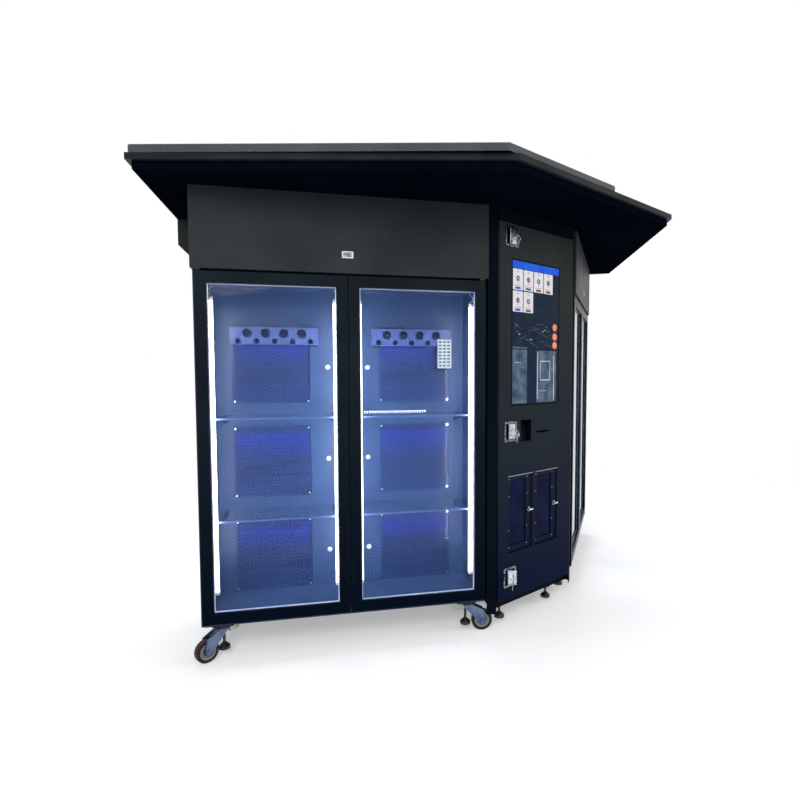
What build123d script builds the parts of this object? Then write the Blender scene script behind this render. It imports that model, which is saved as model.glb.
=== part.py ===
# Flower vending machine: two refrigerated display wings either side of a service column,
# under one wide canopy. Millimetres, +Z up, the service column faces -Y, wheels stand on z = 0.
# The origin is the centre of the canopy's outline, on the floor.
import os
from math import cos, radians, sin
from build123d import *

os.makedirs("parts", exist_ok=True)

# Plan of the cabinet
centre_width = 600.0
wing_turn = 30.0
wing_depth = 600.0
module_start = 46.0
door_width = 620.0
door_gap = 4.0
door_margin = 12.0

# Heights
base_height = 148.0
door_height = 1488.0
door_rise = 24.0
header_gap = 10.0
header_height = 330.0

# Canopy
front_overhang = 381.0
front_edge = 1210.0
side_overhang = 183.35
canopy_turn = 42.8
soffit_depth = 30.0
soffit_inset = 20.0
rim_height = 24.0
rim_lip = 26.0
cap_thickness = 30.0
cap_wall = 4.0
cap_reach = 45.0
cap_setback = 9.0
cap_end = 70.0
cap_side_inset = 12.0
cap_corner_radius = 12.0
cap_edge_chamfer = 3.0
gusset_shoulder_share = 0.76

# Sheet metal and general fits
sheet = 1.5
folded_edge = 25.0
running_fit = 0.06
seat_gap = 0.3
overrun = 5.0

# Wing casing, liner and header
casing_setback = 45.0
liner_side = 34.0
liner_floor = 40.0
liner_ceiling = 36.0
liner_depth = 290.0
header_reach = 8.0
header_corner_radius = 3.0
mullion_width = 40.0
mullion_depth = 50.0
mullion_flange = 80.0
mullion_flange_thickness = 3.0
thermometer_width = 48.0
thermometer_height = 28.6
thermometer_bezel = 2.0
thermometer_body_depth = 16.0
thermometer_bezel_lap = 3.0
thermometer_shift = 0.0
thermometer_drop = 78.0
thermometer_corner = 3.0

# Glazed doors
door_thickness = 40.0
stile_width = 48.0
bottom_rail = 48.0
front_lip = 14.0
rebate = 10.0
glazing_clearance = 1.0
glass_thickness = 10.0
frame_chamfer = 1.2
gasket_width = 14.0
gasket_setback = 24.0
gasket_bottom_setback = 2.0
gasket_height = 4.5
channel_inset = 6.0
channel_width = 28.0
channel_depth = 20.0
door_pin_inset = 16.0
door_pin_setback = 10.0
door_pin_radius = 5.0
door_pin_depth = 18.0
hinge_bracket_width = 24.0
hinge_bracket_thickness = 6.0

# Display bays
tiers = 3
first_shelf_share = 0.280083
tier_pitch_share = 0.312586
window_drop_share = 0.159059
back_window_width_share = 0.613793
back_window_height_share = 0.235131
back_window_thickness = 5.0
window_shift = 36.0
window_screw_radius = 5.0
window_screw_head = 2.5
window_screw_inset = 9.0
shelf_thickness = 8.0
shelf_side_gap = 3.0
shelf_tube_gap = 4.0
arm_inset = 40.0
arm_length = 190.0
arm_thickness = 3.0
arm_root_height = 36.0
arm_tip_height = 10.0
duct_bottom_share = 0.820885
duct_height = 81.0
duct_reach = 35.0
duct_side_gap = 90.0
duct_shift = 17.0
duct_big_hole = 43.0
duct_small_hole = 26.0
duct_hole_pitch = 82.0
duct_holes = 4
duct_big_hole_rise = 52.0
duct_small_hole_rise = 15.0
tube_radius = 10.0
tube_mullion_distance = 52.0
tube_wall_distance = 28.0
tube_top_gap = 87.0
tube_bottom_gap = 104.0
tube_setback = 30.0
tube_cap_length = 14.0
tube_cap_radius = 11.5
tube_clip_width = 12.0

# Service column
service_margin = 12.0
service_thickness = 28.0
service_top_gap = 60.0
service_pin_inset = 14.0
service_pin_setback = 8.0
service_pin_radius = 5.0
washer_radius = 7.5
post_gap = 4.0
post_recess = 8.0
post_depth = 60.0
post_drop = 54.0
column_front = 20.0
column_depth = 520.0
column_rail = 35.0
lintel_depth = 28.0
screen_width = 380.0
screen_left = -205.0
screen_height_share = 0.390067
screen_top_share = 0.911272
screen_body_margin = 14.0
screen_body_depth = 36.0
screen_recess = 0.8
reader_left = -135.0
reader_width = 88.0
reader_top_share = 0.483817
reader_height = 113.0
reader_depth = 46.0
reader_wall = 4.0
reader_slope = 18.0
slot_left = -10.0
slot_width = 98.0
slot_height = 9.0
slot_share = 0.445313

# Paddle locks
lock_x = -207.0
lock_height_shares = (0.966518, 0.454241, 0.059710)
lock_width = 90.0
lock_height = 96.0
lock_corner = 8.0
lock_plate = 3.0
dish_width = 72.0
dish_height = 78.0
dish_depth = 24.0
dish_wall = 1.5
paddle_width = 40.0
paddle_height = 70.0
paddle_thickness = 3.0
paddle_pin_radius = 2.5
paddle_pin_offset = 8.0
paddle_barrel_radius = 4.0
paddle_lip = 9.0
paddle_open_angles = (0.0, 0.0, 52.0)
cylinder_radius = 8.0
cylinder_length = 13.0
cylinder_offset = 26.0
cylinder_proud = 2.0
keyway_width = 1.6
keyway_height = 7.0

# Pick-up hatches
hatch_lefts = (-222.0, -16.0)
hatch_width = 186.0
hatch_bottom_share = 0.123884
hatch_height_share = 0.208147
hatch_clearance = 2.5
hatch_recess = 8.0
hatch_thickness = 12.0
hatch_pin_inset = 5.0
hatch_pin_setback = 4.0
hatch_pin_radius = 1.8
hatch_pin_depth = 10.0
window_left_margin = 24.0
window_width = 122.0
window_top_margin = 20.0
window_bottom_margin = 32.0
window_thickness = 4.0
window_lap = 6.0
knob_edge_distance = 20.0
knob_height_share = 0.514745
knob_shaft_radius = 4.0
knob_rose_radius = 11.0
knob_rose_height = 3.0
knob_neck_radius = 5.5
knob_neck_length = 14.0
knob_grip_length = 30.0
knob_grip_radius = 5.0
knob_cam_length = 24.0
knob_cam_width = 10.0
knob_cam_thickness = 2.0
knob_cam_clearance = 1.0
bin_depth = 165.0
bin_sheet = 1.5
bin_margin = 6.0
bin_gap = 3.0

# Casters and levelling feet
wheel_radius = 50.0
wheel_width = 32.0
wheel_tread_round = 6.0
hub_radius = 36.0
hub_recess = 4.0
hub_boss_radius = 12.0
axle_radius = 6.0
axle_head_radius = 10.0
axle_head = 4.0
caster_bracket_gap = 1.0
rear_caster_setback = 520.0
left_inner_caster_turn = 6.0
left_outer_caster_turn = 36.0
right_inner_caster_turn = -100.0
right_outer_caster_turn = 12.0
caster_trail = 80.0
caster_plate_length = 90.0
caster_plate_width = 70.0
caster_plate_thickness = 6.0
race_radius = 33.0
race_height = 2.0
sleeve_radius = 15.0
sleeve_length = 14.0
turntable_thickness = 8.0
fork_cheek = 4.0
fork_side_gap = 2.0
fork_foot_radius = 15.0
fork_shoulder = 34.0
cheek_crest_share = 0.35
cheek_brow = 60.0
cheek_nose = 8.0
table_reach = 30.0
counter_length = 50.0
counter_height = 30.0
counter_start = 16.0
counter_width = 42.0
foot_pad_radius = 25.0
foot_pad_height = 13.0
foot_cone_height = 15.0
foot_neck_radius = 9.0
foot_stem_radius = 6.0
foot_clearance = 32.0
foot_stem_top_gap = 3.0
centre_foot_left = 200.0
centre_foot_right = 172.0
centre_foot_rear = 430.0
foot_socket_radius = 12.0
foot_socket_height = 20.0

# Control box in the service column
control_width = 140.0
control_height = 300.0
control_depth = 80.0
control_bottom_share = 0.587054
control_fillet = 4.0

# Worked out from the sizes above
turn_cos = cos(radians(wing_turn))
turn_sin = sin(radians(wing_turn))
half_centre = centre_width / 2
module_width = 2 * door_width + door_gap + 2 * door_margin
module_end = module_start + module_width
door_start = module_start + door_margin
door_bottom = base_height + door_rise
door_top = door_bottom + door_height
header_z = door_top + header_gap
roof_z = header_z + header_height
rim_z = roof_z + soffit_depth
liner_front = -casing_setback
liner_back = liner_front - liner_depth
cap_z = rim_z + rim_height
bay_middle = module_start + module_width / 2
tip_along = module_end + side_overhang
corner_along = (front_edge / 2 - half_centre) * turn_cos - front_overhang * turn_sin
wing_edge = (tip_along - corner_along) / cos(radians(canopy_turn - wing_turn))
tip_x = front_edge / 2 + wing_edge * cos(radians(canopy_turn))
tip_y = wing_edge * sin(radians(canopy_turn)) - front_overhang
rear_reach = tip_along * turn_sin + wing_depth * turn_cos
facet_y = (front_overhang - rear_reach) / 2
bracket_end = door_margin + door_pin_inset + hinge_bracket_width / 2
caster_inset = bracket_end + caster_bracket_gap + caster_plate_length / 2
caster_setback = casing_setback + caster_plate_width / 2
shelf_front = liner_front - tube_setback - tube_cap_radius - shelf_tube_gap
column_floor = base_height - post_gap
centre_foot_setback = post_depth + foot_socket_radius
notch_y = (wing_depth - half_centre * turn_sin) / turn_cos
service_half = half_centre - service_margin
service_top = roof_z - service_top_gap
service_height = service_top - base_height
screen_height = service_height * screen_height_share
screen_top = base_height + service_height * screen_top_share
reader_top = base_height + service_height * reader_top_share
slot_z = base_height + service_height * slot_share
lock_heights = [base_height + service_height * share for share in lock_height_shares]
hatch_bottom = base_height + service_height * hatch_bottom_share
hatch_height = service_height * hatch_height_share
knob_z = hatch_bottom + hatch_height * knob_height_share
control_bottom = base_height + service_height * control_bottom_share
cavity_start = module_start + liner_side
cavity_end = module_end - liner_side
cavity_bottom = base_height + liner_floor
cavity_top = header_z - liner_ceiling
cavity_height = cavity_top - cavity_bottom
first_shelf = cavity_bottom + cavity_height * first_shelf_share
tier_pitch = cavity_height * tier_pitch_share
window_drop = cavity_height * window_drop_share
back_window_height = cavity_height * back_window_height_share
duct_bottom = cavity_bottom + cavity_height * duct_bottom_share
tube_bottom = cavity_bottom + tube_bottom_gap
tube_length = cavity_top - tube_top_gap - tube_bottom
bay_width = (cavity_end - cavity_start - mullion_width) / 2
back_window_width = bay_width * back_window_width_share
bay_spans = (
    (cavity_start, cavity_start + bay_width),
    (cavity_end - bay_width, cavity_end),
)

left = -1
right = 1
side_names = {left: "left", right: "right"}
caster_turns = {
    (left, True): left_inner_caster_turn,
    (left, False): left_outer_caster_turn,
    (right, True): right_inner_caster_turn,
    (right, False): right_outer_caster_turn,
}


def wing_point(side, along, out):
    """Plan position of a point on a wing: along its face from the corner, and out from the face."""
    x = side * (half_centre + along * turn_cos + out * turn_sin)
    return x, facet_y + along * turn_sin - out * turn_cos


def wing_floor(side, z):
    """Horizontal plane whose x runs along the wing's face from the corner."""
    x, y = wing_point(side, 0, 0)
    return Plane(origin=(x, y, z), x_dir=(side * turn_cos, turn_sin, 0), z_dir=(0, 0, 1))


def wing_front(side, out):
    """Upright plane parallel to the wing's face; it looks outwards and its y is height."""
    x, y = wing_point(side, 0, out)
    normal = (side * turn_sin, -turn_cos, 0)
    return Plane(origin=(x, y, 0), x_dir=(turn_cos, side * turn_sin, 0), z_dir=normal)


def facet_front(setback):
    """Upright plane parallel to the service column's face, set back from it."""
    return Plane(origin=(0, facet_y + setback, 0), x_dir=(1, 0, 0), z_dir=(0, -1, 0))


def plate(plane, a0, a1, b0, b1, thickness, mode=Mode.ADD):
    """Adds a rectangular plate between two corners of a plane to the part in hand."""
    with BuildSketch(plane) as outline:
        with Locations(((a0 + a1) / 2, (b0 + b1) / 2)):
            Rectangle(abs(a1 - a0), abs(b1 - b0))
    extrude(outline.sketch, amount=thickness, mode=mode)


def wing_plate(side, s0, s1, z0, z1, out, thickness, mode=Mode.ADD):
    """The same, on a wing's upright plane, between two distances along its face."""
    plate(wing_front(side, out), side * s0, side * s1, z0, z1, thickness, mode)


def wing_slab(side, s0, s1, out0, out1, z0, z1, mode=Mode.ADD):
    """The same, from a wing's plan, between two heights."""
    plate(wing_floor(side, z0), s0, s1, -side * out0, -side * out1, z1 - z0, mode)


def prism(plane, points, height, mode=Mode.ADD):
    """Adds a straight-sided prism over an outline to the part in hand."""
    with BuildSketch(plane) as outline:
        with BuildLine():
            Polyline(*points, close=True)
        make_face()
    extrude(outline.sketch, amount=height, mode=mode)


def disc(plane, a, b, radius, thickness, mode=Mode.ADD):
    """Adds a round disc, pin or bore to the part in hand."""
    with BuildSketch(plane) as outline:
        with Locations((a, b)):
            Circle(radius)
    extrude(outline.sketch, amount=thickness, mode=mode)


def save(part, name):
    """Labels a finished part and writes its file."""
    part.label = name
    export_step(part, "parts/" + name + ".step")


# Canopy outline
def canopy_points(sides):
    """The canopy's plan as points of the given halves, from the left tip round to the left rear."""
    front = facet_y - front_overhang
    points = []
    if left in sides:
        points.append((-tip_x, facet_y + tip_y))
        points.append((-front_edge / 2, front))
    if right in sides:
        points.append((front_edge / 2, front))
        points.append((tip_x, facet_y + tip_y))
        points.append(wing_point(right, tip_along, -wing_depth))
    points.append((0, facet_y + notch_y))
    if left in sides:
        points.append(wing_point(left, tip_along, -wing_depth))
    return points


def half_points(side):
    """One half of the canopy's plan, cut along the machine's centre line."""
    front = facet_y - front_overhang
    return [
        (side * tip_x, facet_y + tip_y),
        (side * front_edge / 2, front),
        (0, front),
        (0, facet_y + notch_y),
        wing_point(side, tip_along, -wing_depth),
    ]


def inset_prism(z, points, inset, height, mode=Mode.ADD):
    """Adds a flat prism over an outline moved inwards by the inset."""
    with BuildSketch(Plane.XY.offset(z)) as outline:
        with BuildLine():
            Polyline(*points, close=True)
        make_face()
        offset(amount=-inset, kind=Kind.INTERSECTION)
    extrude(outline.sketch, amount=height, mode=mode)


def build_canopy():
    """Two roof trays that meet on the centre line: top sheet, folded rim and inward lip."""
    with BuildPart() as canopy:
        for side in (left, right):
            points = half_points(side)
            prism(Plane.XY.offset(rim_z), points, rim_height)
            inset_prism(rim_z + sheet, points, sheet, rim_height - 2 * sheet, Mode.SUBTRACT)
            inset_prism(rim_z, points, rim_lip, sheet, Mode.SUBTRACT)
    save(canopy.part, "canopy_trays")


def build_soffits():
    """Glossy under-panels: two shallow trays set in from the rim, with a seam between them."""
    with BuildPart() as soffits:
        points = canopy_points((left, right))
        inset_prism(roof_z, points, soffit_inset, soffit_depth)
        inset_prism(roof_z + sheet, points, soffit_inset + sheet, soffit_depth, Mode.SUBTRACT)
        front = facet_y - front_overhang
        back = facet_y + notch_y
        seam = Plane.XY.offset(roof_z)
        plate(seam, -seat_gap, seat_gap, front, back, soffit_depth + overrun, Mode.SUBTRACT)
    save(soffits.part, "soffits")


def build_cap():
    """Roof cover over the left wing and half of the column: a shallow tray, open below."""
    front = facet_y - front_overhang + cap_setback
    slope_cos = cos(radians(canopy_turn))
    slope_sin = sin(radians(canopy_turn))
    tip = (-tip_x + cap_side_inset * slope_cos, facet_y + tip_y - cap_side_inset * slope_sin)
    rear = wing_point(left, tip_along - cap_side_inset, -wing_depth)
    rear_slope = turn_sin / turn_cos
    end_y = facet_y + notch_y - cap_end * rear_slope
    corner = (-front_edge / 2 - cap_reach, front)
    points = [tip, corner, (cap_end, front), (cap_end, end_y), rear]
    with BuildPart() as cap:
        prism(Plane.XY.offset(cap_z), points, cap_thickness)
        tip_edge = cap.edges().filter_by(Axis.Z).sort_by(Axis.X)[0]
        fillet(tip_edge, cap_corner_radius)
        chamfer(cap.faces().sort_by(Axis.Z)[-1].edges(), cap_edge_chamfer)
        inset_prism(cap_z, points, cap_wall, cap_thickness - cap_wall, Mode.SUBTRACT)
    save(cap.part, "canopy_cap")


def build_gussets():
    """Folded side gussets that close the canopy's rear corners down to the wings."""
    gusset_end = tip_along - soffit_inset
    gusset_width = gusset_end - module_end
    shoulder = roof_z - gusset_width * gusset_shoulder_share
    with BuildPart() as gussets:
        for side in (left, right):
            points = [
                (side * module_end, shoulder - gusset_width),
                (side * gusset_end, shoulder),
                (side * gusset_end, roof_z),
                (side * module_end, roof_z),
            ]
            inner = [
                (side * (module_end + sheet), shoulder - gusset_width + 3 * sheet),
                (side * (gusset_end - sheet), shoulder + sheet),
                (side * (gusset_end - sheet), roof_z - sheet),
                (side * (module_end + sheet), roof_z - sheet),
            ]
            prism(wing_front(side, -wing_depth), points, folded_edge)
            prism(wing_front(side, -wing_depth), inner, folded_edge - sheet, Mode.SUBTRACT)
    save(gussets.part, "rear_gussets")


# Wing casings
def build_casing(side):
    """Outer sheet box of a wing: floor pan, two sides, back, and a front sill and lintel."""
    inner_start = module_start + sheet
    inner_end = module_end - sheet
    with BuildPart() as casing:
        wing_slab(side, module_start, module_end, liner_front, -wing_depth, base_height, header_z)
        wing_slab(
            side, inner_start, inner_end, liner_front + overrun, sheet - wing_depth,
            base_height + sheet, header_z - sheet, Mode.SUBTRACT,
        )
        for top in (True, False):
            ledge = header_z - folded_edge if top else base_height
            z0 = ledge
            z1 = ledge + folded_edge
            wing_slab(side, inner_start, inner_end, liner_front - sheet, liner_front - 2 * sheet, z0, z1)
    save(casing.part, side_names[side] + "_casing")


def build_liner(side):
    """Inner sheet box of a wing, with the front flange that the door gaskets close on."""
    flange_start = module_start + sheet
    flange_end = module_end - sheet
    with BuildPart() as liner:
        wing_plate(
            side, flange_start, flange_end, base_height + sheet, header_z - sheet, liner_front, -sheet,
        )
        wing_plate(
            side, cavity_start - sheet, cavity_end + sheet, cavity_bottom - sheet, cavity_top + sheet,
            liner_front, -liner_depth - sheet,
        )
        wing_plate(
            side, cavity_start, cavity_end, cavity_bottom, cavity_top,
            liner_front + overrun, -liner_depth - overrun, Mode.SUBTRACT,
        )
    save(liner.part, side_names[side] + "_liner")


def build_headers():
    """Header boxes over the doors: folded covers, open to the canopy above."""
    middle = bay_middle + thermometer_shift
    body_half = thermometer_width / 2 - thermometer_bezel_lap
    body_height = thermometer_height / 2 - thermometer_bezel_lap
    meter_z = header_z + thermometer_drop
    with BuildPart() as headers:
        for side in (left, right):
            wing_slab(side, module_start, module_end, header_reach, -wing_depth, header_z, roof_z)
        for side in (left, right):
            outwards = Axis((0, 0, 0), (side * turn_sin, -turn_cos, 0))
            corners = headers.edges().filter_by(Axis.Z).sort_by(Axis.X)
            own_corners = corners[-4:] if side == right else corners[:4]
            fillet(own_corners.sort_by(outwards)[-2:], header_corner_radius)
            wing_slab(
                side, module_start + sheet, module_end - sheet, header_reach - sheet, sheet - wing_depth,
                header_z + sheet, roof_z + overrun, Mode.SUBTRACT,
            )
            wing_plate(
                side, middle - body_half, middle + body_half, meter_z - body_height, meter_z + body_height,
                header_reach + overrun, -sheet - 2 * overrun, Mode.SUBTRACT,
            )
    save(headers.part, "headers")


def build_thermometers():
    """Panel thermometers clipped through the headers."""
    middle = bay_middle + thermometer_shift
    meter_z = header_z + thermometer_drop
    lens_half = thermometer_width / 2 - 2 * thermometer_bezel_lap
    lens_height = thermometer_height - 4 * thermometer_bezel_lap
    with BuildPart() as thermometers:
        for side in (left, right):
            with BuildSketch(wing_front(side, header_reach)) as bezel:
                with Locations((side * middle, meter_z)):
                    RectangleRounded(thermometer_width, thermometer_height, thermometer_corner)
            extrude(bezel.sketch, amount=thermometer_bezel)
            body_half = thermometer_width / 2 - thermometer_bezel_lap - running_fit
            body_height = thermometer_height - 2 * (thermometer_bezel_lap + running_fit)
            wing_plate(
                side, middle - body_half, middle + body_half,
                meter_z - body_height / 2, meter_z + body_height / 2,
                header_reach, -thermometer_body_depth,
            )
            wing_plate(
                side, middle - lens_half, middle + lens_half,
                meter_z - lens_height / 2, meter_z + lens_height / 2,
                header_reach + thermometer_bezel, -thermometer_bezel / 2, Mode.SUBTRACT,
            )
    save(thermometers.part, "thermometers")


def build_mullions():
    """Upright post in each wing's mouth, behind the meeting stiles of its doors."""
    half = mullion_width / 2
    with BuildPart() as mullions:
        for side in (left, right):
            wing_slab(
                side, bay_middle - half, bay_middle + half, liner_front, liner_front - mullion_depth,
                cavity_bottom, cavity_top,
            )
            wing_slab(
                side, bay_middle - mullion_flange / 2, bay_middle + mullion_flange / 2,
                liner_front, liner_front - mullion_flange_thickness, cavity_bottom, cavity_top,
            )
    save(mullions.part, "mullions")


def window_centres():
    """Middle of each back window in a bay, along the wing and in height."""
    for (bay_start, bay_end), way in zip(bay_spans, (-1, 1)):
        middle = (bay_start + bay_end) / 2 + way * window_shift
        for tier in range(tiers):
            yield middle, first_shelf + tier * tier_pitch - window_drop


def build_back_windows():
    """Clear cover over each tier's lit back panel, with a screw in every corner."""
    half_width = back_window_width / 2
    half_height = back_window_height / 2
    face = liner_back + back_window_thickness
    with BuildPart() as windows:
        for side in (left, right):
            for middle, height in window_centres():
                wing_plate(
                    side, middle - half_width, middle + half_width,
                    height - half_height, height + half_height, liner_back, back_window_thickness,
                )
                screw_x = back_window_width - 2 * window_screw_inset
                screw_z = back_window_height - 2 * window_screw_inset
                with BuildSketch(wing_front(side, face)) as heads:
                    with Locations((side * middle, height)):
                        with GridLocations(screw_x, screw_z, 2, 2):
                            Circle(window_screw_radius)
                extrude(heads.sketch, amount=window_screw_head)
    save(windows.part, "back_windows")


def shelf_places():
    """Ends and top of every shelf in a wing."""
    for bay_start, bay_end in bay_spans:
        for tier in range(tiers - 1):
            yield bay_start + shelf_side_gap, bay_end - shelf_side_gap, first_shelf + tier * tier_pitch


def build_shelves():
    """Glass shelves between the tiers."""
    with BuildPart() as shelves:
        for side in (left, right):
            for start, end, top in shelf_places():
                wing_slab(side, start, end, shelf_front, liner_back, top - shelf_thickness, top)
    save(shelves.part, "shelves")


def build_shelf_arms():
    """Tapered arms on the back wall, two under every shelf."""
    with BuildPart() as arms:
        for side in (left, right):
            for start, end, top in shelf_places():
                for along in (start + arm_inset, end - arm_inset):
                    x, y = wing_point(side, along - arm_thickness / 2, liner_back)
                    section = Plane(
                        origin=(x, y, top - shelf_thickness),
                        x_dir=(side * turn_sin, -turn_cos, 0),
                        z_dir=(-turn_cos, -side * turn_sin, 0),
                    )
                    points = [(0, 0), (arm_length, 0), (arm_length, -arm_tip_height), (0, -arm_root_height)]
                    prism(section, points, -side * arm_thickness)
    save(arms.part, "shelf_arms")


def build_duct_covers():
    """Folded air-duct cover across the top of every bay, with large and small round outlets."""
    with BuildPart() as covers:
        for side in (left, right):
            for (bay_start, bay_end), way in zip(bay_spans, (-1, 1)):
                start = bay_start + duct_side_gap + way * duct_shift
                end = bay_end - duct_side_gap + way * duct_shift
                face = liner_back + duct_reach
                top = duct_bottom + duct_height
                foot = liner_back + back_window_thickness
                wing_plate(side, start, end, duct_bottom, top, foot, face - foot)
                wing_plate(
                    side, start + sheet, end - sheet, duct_bottom + sheet, top - sheet,
                    foot, face - foot - sheet, Mode.SUBTRACT,
                )
                middle = (start + end) / 2
                with BuildSketch(wing_front(side, face - 2 * sheet)) as outlets:
                    with Locations((side * middle, duct_bottom + duct_big_hole_rise)):
                        with GridLocations(duct_hole_pitch, duct_hole_pitch, duct_holes, 1):
                            Circle(duct_big_hole / 2)
                    with Locations((side * middle, duct_bottom + duct_small_hole_rise)):
                        with GridLocations(duct_hole_pitch, duct_hole_pitch, duct_holes + 1, 1):
                            Circle(duct_small_hole / 2)
                extrude(outlets.sketch, amount=2 * sheet + overrun, mode=Mode.SUBTRACT)
    save(covers.part, "duct_covers")


def tube_places():
    """Each light tube's distance along the wing, and the wall its clips reach to."""
    return (
        (cavity_start + tube_wall_distance, cavity_start),
        (bay_middle - tube_mullion_distance, bay_middle - mullion_width / 2),
        (bay_middle + tube_mullion_distance, bay_middle + mullion_width / 2),
        (cavity_end - tube_wall_distance, cavity_end),
    )


def build_light_tubes():
    """Light tubes upright in each bay's front corners, with end caps and clips to the wall."""
    out = liner_front - tube_setback
    half = tube_clip_width / 2
    ends = (tube_bottom - tube_cap_length, tube_bottom + tube_length)
    with BuildPart() as tubes:
        for side in (left, right):
            for along, wall in tube_places():
                disc(wing_floor(side, tube_bottom), along, -side * out, tube_radius, tube_length)
                for end in ends:
                    disc(wing_floor(side, end), along, -side * out, tube_cap_radius, tube_cap_length)
                    s0 = min(along, wall)
                    s1 = max(along, wall)
                    wing_slab(side, s0, s1, out - half, out + half, end, end + tube_cap_length)
    save(tubes.part, "light_tubes")


# Glazed doors
def door_span(inner):
    """A door's two edges along the wing."""
    start = door_start if inner else door_start + door_width + door_gap
    return start, start + door_width


def door_axis(inner):
    """Distance along the wing of a door's hinge pins."""
    start, end = door_span(inner)
    return start + door_pin_inset if inner else end - door_pin_inset


def frame_bars(start, end, side_width, top_width, bottom_width):
    """The four mitred bars of a door frame as outlines in distance along the wing and height."""
    a = (start, door_bottom)
    b = (end, door_bottom)
    c = (end, door_top)
    d = (start, door_top)
    e = (start + side_width, door_bottom + bottom_width)
    f = (end - side_width, door_bottom + bottom_width)
    g = (end - side_width, door_top - top_width)
    h = (start + side_width, door_top - top_width)
    return (a, b, f, e), (b, c, g, f), (c, d, h, g), (d, a, e, h)


def door_ring(side, start, inset, low_inset, width, height, mode):
    """Adds or cuts a rectangular ring on a door's back, given its insets from the door's edges."""
    middle = start + door_width / 2
    low = door_bottom + low_inset
    high = door_top - inset
    with BuildSketch(wing_front(side, -door_thickness)) as ring:
        with Locations((side * middle, (low + high) / 2)):
            Rectangle(door_width - 2 * inset, high - low)
            Rectangle(door_width - 2 * (inset + width), high - low - 2 * width, mode=Mode.SUBTRACT)
    extrude(ring.sketch, amount=height, mode=mode)


def build_door_frame(side, inner):
    """Mitred door frame with a glazing rebate, a gasket behind, and holes for its pins."""
    start, end = door_span(inner)
    back_side = stile_width - rebate
    back_bottom = bottom_rail - rebate
    with BuildPart() as frame:
        for outline in frame_bars(start, end, stile_width, stile_width, bottom_rail):
            points = [(side * s, z) for s, z in outline]
            prism(wing_front(side, -front_lip), points, front_lip)
        chamfer(frame.faces().filter_by(wing_front(side, 0)).group_by(Axis.Y)[0].edges(), frame_chamfer)
        for outline in frame_bars(start, end, back_side, back_side, back_bottom):
            points = [(side * s, z) for s, z in outline]
            prism(wing_front(side, -door_thickness), points, door_thickness - front_lip)
        door_ring(side, start, channel_inset, channel_inset, channel_width, channel_depth, Mode.SUBTRACT)
        door_ring(
            side, start, gasket_setback, gasket_bottom_setback,
            gasket_width, -gasket_height, Mode.ADD,
        )
        axis = door_axis(inner)
        hole = door_pin_radius + running_fit
        for z in (door_bottom - overrun, door_top - door_pin_depth - seat_gap):
            depth = door_pin_depth + seat_gap + overrun
            disc(wing_floor(side, z), axis, side * door_pin_setback, hole, depth, Mode.SUBTRACT)
    return frame.part


def build_door_glass(side, inner):
    """Insulated glass, held in the frame's rebate."""
    start, end = door_span(inner)
    edge = stile_width - rebate + glazing_clearance
    bottom = door_bottom + bottom_rail - rebate + glazing_clearance
    with BuildPart() as glass:
        wing_plate(side, start + edge, end - edge, bottom, door_top - edge, -front_lip, -glass_thickness)
    return glass.part


def build_doors():
    """All four glazed doors."""
    for side in (left, right):
        for inner in (True, False):
            name = side_names[side] + ("_inner_door" if inner else "_outer_door")
            save(build_door_frame(side, inner), name + "_frame")
            save(build_door_glass(side, inner), name + "_glass")


def build_door_hinges():
    """Pivot brackets: one under each door and one in the gap below the header."""
    half = hinge_bracket_width / 2
    with BuildPart() as hinges:
        for side in (left, right):
            for inner in (True, False):
                axis = door_axis(inner)
                across = side * door_pin_setback
                low = door_bottom - 2 * seat_gap - hinge_bracket_thickness
                tongue = low + hinge_bracket_thickness
                wing_slab(side, axis - half, axis + half, 0, liner_front, low, tongue)
                leg = liner_front + hinge_bracket_thickness
                wing_slab(side, axis - half, axis + half, leg, liner_front, base_height, low)
                pin_length = hinge_bracket_thickness + door_pin_depth
                disc(wing_floor(side, low), axis, across, door_pin_radius, pin_length)
                lid = header_z - hinge_bracket_thickness
                wing_slab(side, axis - half, axis + half, 0, liner_front + 2 * sheet, lid, header_z)
                pin_base = door_top - door_pin_depth
                disc(wing_floor(side, pin_base), axis, across, door_pin_radius, lid - pin_base)
    save(hinges.part, "door_hinges")


# Service column
def post_corner(side, recess):
    """Where a corner post's two faces meet, a given depth behind the cabinet's faces."""
    return wing_point(side, recess * (1 - turn_cos) / turn_sin, -recess)


def post_points(side):
    """Plan of the folded corner post: two faces and a return along each neighbour."""
    edge = service_half + post_gap
    inner = post_recess + sheet
    return [
        (side * edge, facet_y + post_recess),
        post_corner(side, post_recess),
        wing_point(side, module_start, -post_recess),
        wing_point(side, module_start, -post_depth),
        wing_point(side, module_start - sheet, -post_depth),
        wing_point(side, module_start - sheet, -inner),
        post_corner(side, inner),
        (side * (edge + sheet), facet_y + inner),
        (side * (edge + sheet), facet_y + post_depth),
        (side * edge, facet_y + post_depth),
    ]


def skirt_points(side):
    """Plan of the post's faces alone, which run on below the doors."""
    edge = service_half + post_gap
    inner = post_recess + sheet
    return [
        (side * edge, facet_y + post_recess),
        post_corner(side, post_recess),
        wing_point(side, module_start, -post_recess),
        wing_point(side, module_start, -inner),
        post_corner(side, inner),
        (side * edge, facet_y + inner),
    ]


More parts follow.
